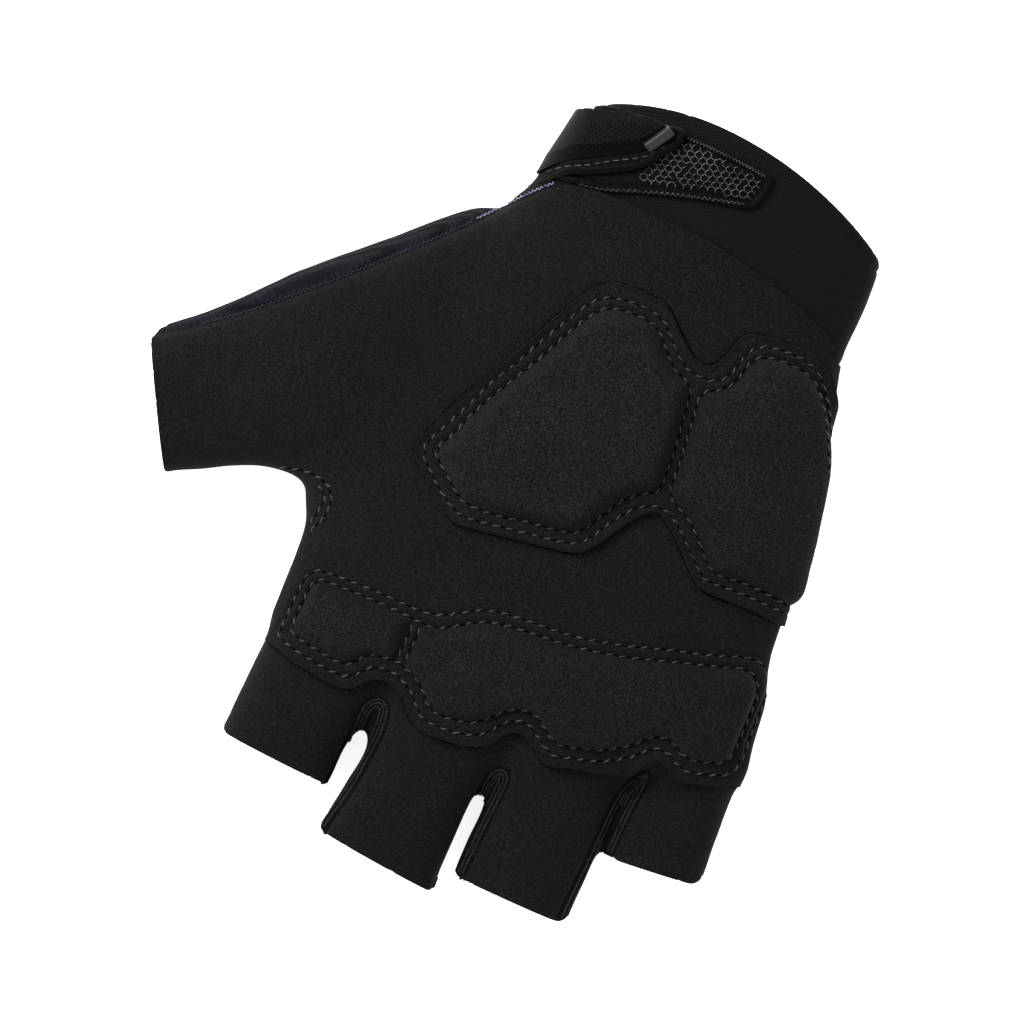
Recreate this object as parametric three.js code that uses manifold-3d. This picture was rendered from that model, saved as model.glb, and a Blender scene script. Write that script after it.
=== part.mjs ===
// Right-hand fingerless cycling glove, lying on its back with the palm up.
// Millimetres. +Z goes from the back of the hand to the palm, +Y from the wrist to the fingers
// and +X to the thumb. The origin is on the resting face, under the middle of the palm.
import * as THREE from 'three';
import { mergeVertices } from 'three/addons/utils/BufferGeometryUtils.js';
import Module from 'manifold-3d';

const wasm = await Module();
wasm.setup();

// Driving sizes
const palmWidth = 100; // little finger side to index side, at the knuckles
const palmLength = 100; // cuff seam to the knuckle line
const palmDepth = 27; // back to palm at the middle of the hand
const cuffLength = 22; // cuff seam to the wrist edge
const wristBulge = 9; // how far the wrist edge bows out past its ends
const thumbLength = 39; // thumb root to the thumb opening
const thumbWidth = 28.5; // across the thumb opening
const thumbDepth = 18;
const fingerDepth = 17; // back to palm at the finger openings
const indexLength = 9.1; // finger root to finger opening
const middleLength = 16.8;
const ringLength = 12.3;
const littleLength = 13;

const suedeWall = 1.2;
const knitWall = 1.2;
const fourchetteWall = 1.1;
const cuffWall = 2;
const overlayThickness = 1.1;
const strapThickness = 1.6;
const hookThickness = 1;
const gripThickness = 2.2;
const tipBarThickness = 1.7;
const clearance = 0.3; // between two pieces that meet

const sideSeamHeight = 9; // seam between the palm side and the back
const backLapHeight = 4; // lower edge of the fourchettes
const thumbWrap = 4.5; // how far the back reaches onto the palm side of the thumb
const knuckleLap = 5; // palm lying over the finger fronts
const knuckleLapJoin = 2.5;
const heelCushionRise = 3.2;
const knuckleCushionRise = 3.2;
const fourchetteShow = 2.2; // fourchette seen beside each finger front
const strapLength = 28; // thumb edge of the cuff to the strap's tip
const hookLength = 42;
const strapSideReach = 9; // how far the strap goes down the thumb edge of the cuff

const roundness = 2.4; // exponent of the rounded cross-sections, 2 is an ellipse
const restSink = 2.5; // how much of each section is flattened by resting
const openPast = 3;
const tallest = 3 * palmDepth;
const farOut = 2 * (palmWidth + palmLength);

// Cross-sections of the hand from the wrist to the knuckles: left and right ends in shares
// of the palm's width and length, height in shares of the palm's depth.
const handSections = [
  { leftX: -0.405, leftY: -0.78, rightX: 0.17, rightY: -0.78, height: 1 },
  { leftX: -0.44, leftY: -0.66, rightX: 0.215, rightY: -0.66, height: 0.99 },
  { leftX: -0.456, leftY: -0.57, rightX: 0.242, rightY: -0.57, height: 0.97 },
  { leftX: -0.459, leftY: -0.48, rightX: 0.27, rightY: -0.48, height: 0.96 },
  { leftX: -0.46, leftY: -0.4, rightX: 0.31, rightY: -0.4, height: 0.96 },
  { leftX: -0.48, leftY: -0.33, rightX: 0.36, rightY: -0.33, height: 0.98 },
  { leftX: -0.512, leftY: -0.2, rightX: 0.41, rightY: -0.2, height: 1 },
  { leftX: -0.548, leftY: -0.05, rightX: 0.43, rightY: -0.05, height: 1 },
  { leftX: -0.572, leftY: 0.1, rightX: 0.435, rightY: 0.1, height: 1 },
  { leftX: -0.586, leftY: 0.22, rightX: 0.435, rightY: 0.22, height: 0.99 },
  { leftX: -0.614, leftY: 0.31, rightX: 0.44, rightY: 0.305, height: 0.97 },
  { leftX: -0.622, leftY: 0.38, rightX: 0.404, rightY: 0.38, height: 0.95 },
  { leftX: -0.629, leftY: 0.44, rightX: 0.39, rightY: 0.5, height: 0.92 },
  { leftX: -0.634, leftY: 0.5, rightX: 0.384, rightY: 0.58, height: 0.85 },
  { leftX: -0.61, leftY: 0.54, rightX: 0.37, rightY: 0.66, height: 0.68 },
];

// Cross-sections of each finger from inside the palm to its root. The same shares, and the
// height in shares of the finger's depth. The opening has its own ends and slant.
const fingers = [
  {
    name: 'index',
    length: indexLength,
    sections: [
      { leftX: 0.06, leftY: 0.52, rightX: 0.375, rightY: 0.5, height: 1.2 },
      { leftX: 0.08, leftY: 0.62, rightX: 0.38, rightY: 0.6, height: 1.24 },
      { leftX: 0.112, leftY: 0.705, rightX: 0.384, rightY: 0.68, height: 1.12 },
      { leftX: 0.133, leftY: 0.755, rightX: 0.385, rightY: 0.74, height: 1.06 },
    ],
    opening: { leftX: 0.133, rightX: 0.386, slant: -0.014, height: 1 },
  },
  {
    name: 'middle',
    length: middleLength,
    sections: [
      { leftX: -0.22, leftY: 0.52, rightX: 0.165, rightY: 0.52, height: 1.24 },
      { leftX: -0.195, leftY: 0.64, rightX: 0.145, rightY: 0.62, height: 1.28 },
      { leftX: -0.168, leftY: 0.73, rightX: 0.118, rightY: 0.705, height: 1.16 },
      { leftX: -0.155, leftY: 0.78, rightX: 0.096, rightY: 0.755, height: 1.08 },
    ],
    opening: { leftX: -0.163, rightX: 0.12, slant: -0.02, height: 1.03 },
  },
  {
    name: 'ring',
    length: ringLength,
    sections: [
      { leftX: -0.5, leftY: 0.38, rightX: -0.11, rightY: 0.54, height: 1.2 },
      { leftX: -0.47, leftY: 0.47, rightX: -0.134, rightY: 0.64, height: 1.25 },
      { leftX: -0.439, leftY: 0.56, rightX: -0.16, rightY: 0.73, height: 1.12 },
      { leftX: -0.424, leftY: 0.62, rightX: -0.171, rightY: 0.78, height: 1.05 },
    ],
    opening: { leftX: -0.43, rightX: -0.168, slant: 0.006, height: 0.97 },
  },
  {
    name: 'little',
    length: littleLength,
    sections: [
      { leftX: -0.62, leftY: 0.36, rightX: -0.39, rightY: 0.38, height: 1.1 },
      { leftX: -0.63, leftY: 0.46, rightX: -0.41, rightY: 0.47, height: 1.14 },
      { leftX: -0.634, leftY: 0.56, rightX: -0.434, rightY: 0.56, height: 1.02 },
      { leftX: -0.638, leftY: 0.6, rightX: -0.444, rightY: 0.6, height: 0.96 },
    ],
    opening: { leftX: -0.648, rightX: -0.441, slant: 0.028, height: 0.9 },
  },
];

// The thumb's buried root, in the palm's shares.
const thumbRoot = [
  { leftX: 0.16, leftY: 0.27, rightX: 0.14, rightY: -0.34, height: 0.78 },
  { leftX: 0.4, leftY: 0.3, rightX: 0.325, rightY: -0.37, height: 0.9 },
];

// The free thumb along its own axis: distance in shares of its length, width of its opening's
// width, turn of the section in degrees, height in shares of its depth, and how far the back
// wraps onto its palm side, in shares of the thumb wrap.
const thumbAxisStart = { x: 0.4875, y: 0.031 };
const thumbAxisAngle = 39.8;
const thumbSections = [
  { along: 0, width: 1.89, turn: -92.7, height: 1.32, wrap: 1 },
  { along: 0.38, width: 1.465, turn: -83.1, height: 1.2, wrap: 1 },
  { along: 0.706, width: 1.165, turn: -73.4, height: 1.08, wrap: 0.7 },
  { along: 1, width: 1, turn: -60.6, height: 1, wrap: 0.45 },
];

// The forks between the fingers, in the palm's shares: each fourchette starts at its loop's
// bottom and runs out between the two fingers.
const fourchettes = [
  { name: 'fourchette_index_middle', left: 'middle', right: 'index', loopX: 0.106, loopY: 0.645 },
  { name: 'fourchette_middle_ring', left: 'ring', right: 'middle', loopX: -0.18, loopY: 0.67 },
  { name: 'fourchette_ring_little', left: 'little', right: 'ring', loopX: -0.448, loopY: 0.545 },
];

// Scalloped edge of the palm over the finger fronts, little finger side first.
const scallopEdge = [
  { x: -0.64, y: 0.495 },
  { x: -0.52, y: 0.53 },
  { x: -0.47, y: 0.51 },
  { x: -0.42, y: 0.56 },
  { x: -0.34, y: 0.593 },
  { x: -0.26, y: 0.618 },
  { x: -0.185, y: 0.578 },
  { x: -0.13, y: 0.63 },
  { x: -0.06, y: 0.658 },
  { x: 0.02, y: 0.658 },
  { x: 0.09, y: 0.605 },
  { x: 0.14, y: 0.605 },
  { x: 0.2, y: 0.65 },
  { x: 0.3, y: 0.645 },
  { x: 0.37, y: 0.633 },
];

// Seam between the cuff and the hand.
const cuffSeam = [
  { x: -0.46, y: -0.385 },
  { x: -0.4, y: -0.433 },
  { x: -0.25, y: -0.474 },
  { x: -0.1, y: -0.498 },
  { x: 0.1, y: -0.5 },
  { x: 0.23, y: -0.475 },
  { x: 0.31, y: -0.405 },
];

// Heel overlay. Its little finger side runs over the edge of the hand.
const heelOutline = [
  { x: -0.5, y: 0.152 },
  { x: -0.39, y: 0.152 },
  { x: -0.31, y: 0.09 },
  { x: -0.245, y: 0.05 },
  { x: -0.2, y: 0.09 },
  { x: -0.15, y: 0.18 },
  { x: -0.1, y: 0.204 },
  { x: 0, y: 0.223 },
  { x: 0.12, y: 0.244 },
  { x: 0.18, y: 0.21 },
  { x: 0.25, y: 0.155 },
  { x: 0.225, y: 0.02 },
  { x: 0.14, y: -0.155 },
  { x: 0.07, y: -0.305 },
  { x: 0, y: -0.34 },
  { x: -0.095, y: -0.332 },
  { x: -0.15, y: -0.285 },
  { x: -0.205, y: -0.26 },
  { x: -0.24, y: -0.31 },
  { x: -0.265, y: -0.358 },
  { x: -0.35, y: -0.375 },
  { x: -0.44, y: -0.355 },
];

// Crowned cushions: the thumb side and little finger side of the heel, then the knuckles.
const thenarCushion = [
  { x: -0.215, y: 0.03 },
  { x: -0.17, y: 0.06 },
  { x: -0.12, y: 0.15 },
  { x: 0, y: 0.184 },
  { x: 0.11, y: 0.2 },
  { x: 0.22, y: 0.125 },
  { x: 0.18, y: 0.01 },
  { x: 0.11, y: -0.125 },
  { x: 0.04, y: -0.27 },
  { x: -0.02, y: -0.295 },
  { x: -0.09, y: -0.285 },
  { x: -0.15, y: -0.225 },
  { x: -0.2, y: -0.2 },
  { x: -0.22, y: -0.08 },
];
const outerCushion = [
  { x: -0.53, y: 0.11 },
  { x: -0.42, y: 0.115 },
  { x: -0.34, y: 0.06 },
  { x: -0.25, y: 0.02 },
  { x: -0.24, y: -0.08 },
  { x: -0.22, y: -0.205 },
  { x: -0.27, y: -0.25 },
  { x: -0.3, y: -0.325 },
  { x: -0.38, y: -0.34 },
  { x: -0.44, y: -0.315 },
  { x: -0.48, y: -0.23 },
  { x: -0.51, y: -0.08 },
];
const knuckleCushion = [
  { x: -0.59, y: 0.45 },
  { x: -0.51, y: 0.47 },
  { x: -0.45, y: 0.455 },
  { x: -0.4, y: 0.51 },
  { x: -0.32, y: 0.55 },
  { x: -0.25, y: 0.56 },
  { x: -0.18, y: 0.53 },
  { x: -0.12, y: 0.58 },
  { x: -0.06, y: 0.615 },
  { x: 0.01, y: 0.61 },
  { x: 0.085, y: 0.55 },
  { x: 0.08, y: 0.47 },
  { x: 0.01, y: 0.43 },
  { x: -0.1, y: 0.395 },
  { x: -0.25, y: 0.37 },
  { x: -0.4, y: 0.325 },
  { x: -0.53, y: 0.285 },
  { x: -0.59, y: 0.34 },
];
const indexCushion = [
  { x: 0.125, y: 0.56 },
  { x: 0.2, y: 0.605 },
  { x: 0.32, y: 0.6 },
  { x: 0.335, y: 0.54 },
  { x: 0.32, y: 0.48 },
  { x: 0.13, y: 0.475 },
];

// Cushion profile from its stitched edge inwards: distance in from the edge in shares of the
// way to the middle, and rise in shares of the full rise.
const cushionProfile = [
  { inward: 0, rise: 0 },
  { inward: 0.05, rise: 0.45 },
  { inward: 0.14, rise: 0.78 },
  { inward: 0.4, rise: 0.96 },
];

// Closure on the cuff's palm side. Along goes from the thumb edge towards the little finger,
// in shares of the strap's or the hook patch's length; across goes from the cuff seam to the
// wrist, in shares of the cuff's length.
const strapOutline = [
  { along: -0.3, across: -0.3 },
  { along: 0, across: -0.27 },
  { along: 0.15, across: -0.07 },
  { along: 0.5, across: 0.2 },
  { along: 0.8, across: 0.43 },
  { along: 0.94, across: 0.66 },
  { along: 0.97, across: 0.83 },
  { along: 0.91, across: 0.9 },
  { along: 0.75, across: 0.85 },
  { along: 0.5, across: 0.8 },
  { along: 0.32, across: 0.73 },
  { along: -0.3, across: 0.5 },
];
const gripOutline = [
  { along: 0.04, across: -0.08 },
  { along: 0.26, across: 0.19 },
  { along: 0.52, across: 0.4 },
  { along: 0.65, across: 0.52 },
  { along: 0.73, across: 0.79 },
  { along: 0.5, across: 0.72 },
  { along: 0.32, across: 0.65 },
  { along: 0.16, across: 0.53 },
];
const tipBarOutline = [
  { along: 0.68, across: 0.55 },
  { along: 0.74, across: 0.56 },
  { along: 0.87, across: 0.8 },
  { along: 0.77, across: 0.82 },
];
const hookOutline = [
  { along: 0.1, across: 0 },
  { along: 0.3, across: 0.06 },
  { along: 0.6, across: 0.22 },
  { along: 1.05, across: 0.43 },
  { along: 1.12, across: 0.7 },
  { along: 1.09, across: 0.81 },
  { along: 0.68, across: 0.83 },
  { along: 0.4, across: 0.79 },
  { along: 0.14, across: 0.66 },
];

// Geometry helpers

function closedSolid(geometry) {
  const bare = geometry.index ? geometry.toNonIndexed() : geometry.clone();
  bare.deleteAttribute('normal');
  bare.deleteAttribute('uv');
  const merged = mergeVertices(bare, 1e-4);
  const mesh = new wasm.Mesh({
    numProp: 3,
    vertProperties: new Float32Array(merged.attributes.position.array),
    triVerts: new Uint32Array(merged.index.array),
  });
  return new wasm.Manifold(mesh);
}

function solidGeometry(solid) {
  const mesh = solid.getMesh();
  const geometry = new THREE.BufferGeometry();
  geometry.setAttribute('position', new THREE.BufferAttribute(mesh.vertProperties, 3));
  geometry.setIndex(new THREE.BufferAttribute(mesh.triVerts, 1));
  geometry.computeVertexNormals();
  return geometry;
}

// Rings of the same number of points joined by quads, closed at both ends round their middles.
function loft(rings) {
  const positions = [];
  const put = (point) => positions.push(point.x, point.y, point.z);
  const triangle = (a, b, c) => [a, b, c].forEach(put);
  const count = rings[0].length;
  for (let i = 0; i + 1 < rings.length; i += 1) {
    for (let k = 0; k < count; k += 1) {
      const next = (k + 1) % count;
      triangle(rings[i][k], rings[i + 1][next], rings[i][next]);
      triangle(rings[i][k], rings[i + 1][k], rings[i + 1][next]);
    }
  }
  const middleOf = (ring) => ring.reduce((sum, p) => sum.add(p), new THREE.Vector3()).divideScalar(count);
  const first = rings[0];
  const last = rings[rings.length - 1];
  const firstMiddle = middleOf(first);
  const lastMiddle = middleOf(last);
  for (let k = 0; k < count; k += 1) {
    const next = (k + 1) % count;
    triangle(first[k], first[next], firstMiddle);
    triangle(last[next], last[k], lastMiddle);
  }
  const geometry = new THREE.BufferGeometry();
  geometry.setAttribute('position', new THREE.Float32BufferAttribute(positions, 3));
  return closedSolid(geometry);
}

function prism(outline, low, high) {
  const shape = new THREE.Shape(outline.map((p) => new THREE.Vector2(p.x, p.y)));
  const geometry = new THREE.ExtrudeGeometry(shape, { depth: high - low, bevelEnabled: false });
  geometry.translate(0, 0, low);
  return closedSolid(geometry);
}

function signedArea(outline) {
  const cross = (p, q) => p.x * q.y - q.x * p.y;
  return outline.reduce((sum, p, i) => sum + cross(p, outline[(i + 1) % outline.length]), 0) / 2;
}

// Outline moved outwards by a distance, each corner along its mitre.
function widened(outline, distance) {
  const turn = Math.sign(signedArea(outline));
  const count = outline.length;
  return outline.map((point, i) => {
    const before = outline[(i + count - 1) % count];
    const after = outline[(i + 1) % count];
    const into = new THREE.Vector2(point.x - before.x, point.y - before.y).normalize();
    const out = new THREE.Vector2(after.x - point.x, after.y - point.y).normalize();
    const mitre = new THREE.Vector2(into.y + out.y, -into.x - out.x).multiplyScalar(turn);
    const stretch = (2 * distance) / Math.max(mitre.lengthSq(), 1);
    return { x: point.x + mitre.x * stretch, y: point.y + mitre.y * stretch };
  });
}

function smoothLine(points, samples, closed) {
  const vectors = points.map((p) => new THREE.Vector3(p.x, p.y, 0));
  const curve = new THREE.CatmullRomCurve3(vectors, closed, 'centripetal');
  const line = curve.getSpacedPoints(samples);
  return closed ? line.slice(0, -1) : line;
}

const onPalm = (point) => ({ x: point.x * palmWidth, y: point.y * palmLength });

function palmOutline(points, samples) {
  return smoothLine(points.map(onPalm), samples, true);
}

// Form of the hand

function palmRib(section, depth) {
  return {
    left: new THREE.Vector2(section.leftX * palmWidth, section.leftY * palmLength),
    right: new THREE.Vector2(section.rightX * palmWidth, section.rightY * palmLength),
    height: section.height * depth,
  };
}

function fingerRibs(finger) {
  const ribs = finger.sections.map((section) => palmRib(section, fingerDepth));
  const root = ribs[ribs.length - 1];
  const openingY = Math.max(root.left.y, root.right.y) + finger.length;
  const { leftX, rightX, slant, height } = finger.opening;
  ribs.push({
    left: new THREE.Vector2(leftX * palmWidth, openingY - (slant * palmLength) / 2),
    right: new THREE.Vector2(rightX * palmWidth, openingY + (slant * palmLength) / 2),
    height: height * fingerDepth,
  });
  return ribs;
}

function thumbRibs() {
  const start = onPalm(thumbAxisStart);
  const axis = THREE.MathUtils.degToRad(thumbAxisAngle);
  const free = thumbSections.map((section) => {
    const middle = new THREE.Vector2(
      start.x + Math.cos(axis) * section.along * thumbLength,
      start.y + Math.sin(axis) * section.along * thumbLength,
    );
    const turn = THREE.MathUtils.degToRad(section.turn);
    const half = new THREE.Vector2(Math.cos(turn), Math.sin(turn));
    half.multiplyScalar((section.width * thumbWidth) / 2);
    return {
      left: middle.clone().sub(half),
      right: middle.clone().add(half),
      height: section.height * thumbDepth,
      wrap: section.wrap * thumbWrap,
    };
  });
  return [...thumbRoot.map((section) => palmRib(section, palmDepth)), ...free];
}

const bones = {
  hand: { ribs: handSections.map((s) => palmRib(s, palmDepth)), sides: 30, openStart: true },
  thumb: { ribs: thumbRibs(), sides: 20, openEnd: true },
};
fingers.forEach((finger) => {
  bones[finger.name] = { ribs: fingerRibs(finger), sides: 16, openEnd: true };
});

// One rounded cross-section, grown outwards by a distance or drawn in by a negative one, and
// flat where it rests.
function ribRing(rib, grow, sides) {
  const across = rib.right.clone().sub(rib.left);
  const halfWidth = across.length() / 2 + grow;
  const direction = across.normalize();
  const middle = rib.left.clone().add(rib.right).multiplyScalar(0.5);
  const waist = rib.height / 2;
  const rounded = (value) => Math.sign(value) * Math.abs(value) ** (2 / roundness);
  return Array.from({ length: sides }, (_, k) => {
    const angle = (2 * Math.PI * (k + 0.5)) / sides;
    const reach = rounded(Math.cos(angle)) * halfWidth;
    const lift = rounded(Math.sin(angle));
    const half = lift > 0 ? rib.height - waist + grow : waist + restSink + grow;
    return new THREE.Vector3(
      middle.x + direction.x * reach,
      middle.y + direction.y * reach,
      Math.max(waist + lift * half, -grow),
    );
  });
}

function movedRib(rib, from, distance) {
  const middle = rib.left.clone().add(rib.right);
  const step = middle.sub(from.left).sub(from.right).normalize().multiplyScalar(distance);
  return { ...rib, left: rib.left.clone().add(step), right: rib.right.clone().add(step) };
}

function boneSolid(bone, grow) {
  const ribs = [...bone.ribs];
  const last = ribs.length - 1;
  const past = grow < 0 ? openPast : 0;
  ribs[0] = movedRib(ribs[0], ribs[1], bone.openStart ? past : 0);
  ribs[last] = movedRib(ribs[last], ribs[last - 1], bone.openEnd ? past : grow);
  return loft(ribs.map((rib) => ribRing(rib, grow, bone.sides)));
}

const forms = new Map();

function form(grow) {
  const key = grow.toFixed(3);
  if (!forms.has(key)) {
    const solids = Object.values(bones).map((bone) => boneSolid(bone, grow));
    forms.set(key, solids.reduce((whole, solid) => whole.add(solid)));
  }
  return forms.get(key);
}

const shell = (wall) => form(0).subtract(form(-wall));

function surfaceFinder(solid) {
  const mesh = new THREE.Mesh(solidGeometry(solid), new THREE.MeshBasicMaterial());
  const ray = new THREE.Raycaster();
  const down = new THREE.Vector3(0, 0, -1);
  return (x, y) => {
    ray.set(new THREE.Vector3(x, y, tallest), down);
    const hits = ray.intersectObject(mesh);
    return hits.length > 0 ? hits[0].point.z : 0;
  };
}

const surfaceHeight = surfaceFinder(form(0));

// Regions of the hand seen from above

const half = clearance / 2;

function above(height) {
  const corner = farOut;
  const square = [
    { x: -corner, y: -corner },
    { x: corner, y: -corner },
    { x: corner, y: corner },
    { x: -corner, y: corner },
  ];
  return prism(square, height, tallest);
}

function zone(outline, grow = 0, low = -tallest) {
  return prism(widened(outline, grow), low, tallest);
}

// Everything on the finger side of the scalloped edge, moved back towards the wrist.
function pastScallop(back) {
  const edge = smoothLine(scallopEdge.map(onPalm), 30, false);
  const line = edge.map((p) => ({ x: p.x, y: p.y - back }));
  const start = line[0];
  const end = line[line.length - 1];
  return [
    { x: -farOut, y: farOut },
    { x: -farOut, y: start.y },
    ...line,
    { x: (end.x + bones.thumb.ribs[1].left.x) / 2 + palmWidth / 20, y: end.y },
    { x: farOut, y: end.y },
    { x: farOut, y: farOut },
  ];
}

function cuffZone() {
  const line = smoothLine(cuffSeam.map(onPalm), 12, false);
  const start = line[0];
  const end = line[line.length - 1];
  return [
    { x: -farOut, y: start.y },
    ...line,
    { x: farOut, y: end.y },
    { x: farOut, y: -farOut },
    { x: -farOut, y: -farOut },
  ];
}

const cuffMiddle = onPalm({ x: -0.03, y: -0.5 });
const wristHalfWidth = 0.37 * palmWidth;

// Everything past the bowed wrist edge.
function pastWrist() {
  const steps = 12;
  const line = Array.from({ length: steps + 1 }, (_, i) => {
    const side = (2 * i) / steps - 1;
    return {
      x: cuffMiddle.x + 1.6 * side * wristHalfWidth,
      y: cuffMiddle.y - cuffLength + wristBulge * (1.6 * side) ** 2,
    };
  });
  const low = -farOut;
  return [...line, { x: line[steps].x, y: low }, { x: line[0].x, y: low }];
}

// Everything outside the seam where the back wraps onto the palm side of the thumb.
function thumbWrapZone() {
  const ribs = bones.thumb.ribs.slice(2);
  const seam = ribs.map((rib) => {
    const inward = rib.left.clone().sub(rib.right).setLength(rib.wrap);
    return rib.right.clone().add(inward);
  });
  const outward = ribs[3].right.clone().sub(ribs[2].right).setLength(palmWidth / 2);
  const rootEnd = bones.hand.ribs[4].right;
  const start = new THREE.Vector2(rootEnd.x - thumbWrap / 3, rootEnd.y - thumbWrap);
  const beyond = seam[seam.length - 1].clone().add(outward);
  const away = new THREE.Vector2(beyond.x, start.y);
  return [start, ...smoothLine(seam, 10, false), beyond, away];
}

const ribOf = (name, back) => bones[name].ribs[bones[name].ribs.length - 1 - back];

// Strip between two fingers, from the loop at the fork out past both openings.
function fourchetteZone(fork) {
  const loop = onPalm({ x: fork.loopX, y: fork.loopY });
  const inLeft = (back) => ribOf(fork.left, back).right;
  const inRight = (back) => ribOf(fork.right, back).left;
  const past = new THREE.Vector2(0, palmLength / 10);
  const leftEnd = inLeft(0).clone().add(past);
  const rightEnd = inRight(0).clone().add(past);
  const show = fourchetteShow;
  return [
    { x: loop.x, y: loop.y - show / 2 },
    { x: loop.x + 1.2 * show, y: loop.y + show / 2 },
    { x: inRight(1).x + show, y: inRight(1).y },
    { x: inRight(0).x + show, y: inRight(0).y },
    { x: rightEnd.x + show, y: rightEnd.y },
    { x: leftEnd.x - show, y: leftEnd.y },
    { x: inLeft(0).x - show, y: inLeft(0).y },
    { x: inLeft(1).x - show, y: inLeft(1).y },
    { x: loop.x - 1.2 * show, y: loop.y + show / 2 },
  ];
}

const palmSide = above(sideSeamHeight + half);
const backSide = above(sideSeamHeight - half);
const cuffArea = cuffZone();
const wrapArea = thumbWrapZone();
const forkAreas = fourchettes.map(fourchetteZone);

const cutAll = (solid, cutters) => cutters.reduce((rest, cutter) => rest.subtract(cutter), solid);

// Crowned cushion on the palm, standing on the surface raised by a base thickness.
function cushion(points, base, rise) {
  const outline = palmOutline(points, 2 * points.length);
  const count = outline.length;
  const middle = outline.reduce((sum, p) => sum.add(p), new THREE.Vector3()).divideScalar(count);
  const lifted = (p, height) => new THREE.Vector3(p.x, p.y, surfaceHeight(p.x, p.y) + base + height);
  const foot = outline.map((p) => new THREE.Vector3(p.x, p.y, sideSeamHeight + clearance));
  const rings = cushionProfile.map((step) =>
    outline.map((p) => lifted(p.clone().lerp(middle, step.inward), step.rise * rise)),
  );
  return loft([foot, ...rings]);
}

function layer(outline, low, high, floor) {
  return form(high).subtract(form(low)).intersect(zone(outline, 0, floor));
}

// Pieces of the hand

function palmPanel() {
  const lapTop = clearance + overlayThickness;
  const lapZone = zone(pastScallop(knuckleLap));
  const lapBand = zone(pastScallop(knuckleLap + knuckleLapJoin)).subtract(zone(pastScallop(0)));
  const lap = form(lapTop).intersect(lapBand);
  const cushions = [knuckleCushion, indexCushion].map((points) => cushion(points, 0, knuckleCushionRise));
  const outside = cushions.reduce((sum, piece) => sum.add(piece), form(0).subtract(lapZone).add(lap));
  const inside = form(-suedeWall).add(form(clearance).intersect(lapZone));
  const whole = outside.subtract(inside).intersect(palmSide);
  const cutters = [zone(cuffArea, half), zone(wrapArea, half), ...forkAreas.map((area) => zone(area, half))];
  return cutAll(whole, cutters);
}

function fingerFronts() {
  const fronts = shell(suedeWall).intersect(palmSide).intersect(zone(pastScallop(knuckleLap - clearance)));
  const thumbRoom = zone(thumbClearZone());
  return cutAll(fronts, [...forkAreas.map((area) => zone(area, half)), thumbRoom]);
}

// The finger fronts stop at the index finger's side, clear of the thumb.
function thumbClearZone() {
  const root = bones.hand.ribs[12].right;
  const x = root.x + palmWidth / 40;
  return [
    { x, y: -farOut },
    { x: farOut, y: -farOut },
    { x: farOut, y: farOut },
    { x, y: farOut },
  ];
}

function backPanel() {
  const whole = shell(knitWall);
  const back = whole.subtract(backSide);
  const wrap = whole.intersect(zone(wrapArea, -half));
  const forks = forkAreas.map((area) => zone(area, half, backLapHeight - half));
  return cutAll(back.add(wrap), [zone(cuffArea, half), ...forks]);
}

function fourchette(area) {
  return shell(fourchetteWall).intersect(zone(area, -half, backLapHeight + half));
}

function cuff() {
  return shell(cuffWall).intersect(zone(cuffArea, -half)).subtract(zone(pastWrist()));
}

function heelPad() {
  const outline = palmOutline(heelOutline, 44);
  const upper = clearance + overlayThickness;
  const floor = sideSeamHeight + clearance;
  const overEdge = heelOutline.slice(-1).concat(heelOutline.slice(0, 1)).map(onPalm);
  const side = [
    overEdge[0],
    { x: overEdge[0].x - palmWidth / 2, y: overEdge[0].y + palmLength / 10 },
    { x: overEdge[1].x - palmWidth / 2, y: overEdge[1].y },
    overEdge[1],
  ];
  const sheet = zone(outline, 0, floor).add(zone(side, 0, floor));
  const base = form(upper).subtract(form(clearance)).intersect(sheet);
  const cushions = [thenarCushion, outerCushion].map((points) => cushion(points, upper / 2, heelCushionRise));
  return cushions.reduce((sum, piece) => sum.add(piece.subtract(form(clearance))), base);
}

// Closure

const closureRoot = { x: bones.hand.ribs[3].right.x + strapThickness, y: cuffMiddle.y };
const closureY = (across) => closureRoot.y - across * cuffLength;

function closureOutline(points, length) {
  return points.map((p) => ({ x: closureRoot.x - p.along * length, y: closureY(p.across) }));
}

const hookTop = clearance + hookThickness;
const strapBase = hookTop + clearance;
const strapTop = strapBase + strapThickness;
const gripBase = strapTop + clearance;

function hookPatch() {
  const outline = closureOutline(hookOutline, hookLength - strapThickness);
  return layer(outline, clearance, hookTop, sideSeamHeight);
}

function closureStrap() {
  const outline = closureOutline(strapOutline, strapLength);
  const strap = layer(outline, strapBase, strapTop, strapSideReach);
  const patchEnd = closureRoot.x - hookOutline[0].along * (hookLength - strapThickness);
  const edge = [
    { x: patchEnd + 3 * clearance, y: farOut },
    { x: farOut, y: farOut },
    { x: farOut, y: -farOut },
    { x: patchEnd + 3 * clearance, y: -farOut },
  ];
  const sewnEnd = layer(outline, clearance, strapTop, strapSideReach).intersect(zone(edge));
  return strap.add(sewnEnd);
}

function tabGrip() {
  const outline = smoothLine(closureOutline(gripOutline, strapLength), 26, true);
  const lower = layer(outline, gripBase, gripBase + 0.6 * gripThickness, strapSideReach);
  const inner = widened(outline, -0.25 * gripThickness);
  const upper = layer(inner, gripBase + 0.3 * gripThickness, gripBase + gripThickness, strapSideReach);
  return lower.add(upper);
}

function tabTipBar() {
  return layer(closureOutline(tipBarOutline, strapLength), gripBase, gripBase + tipBarThickness, strapSideReach);
}

// Assembly

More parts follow.
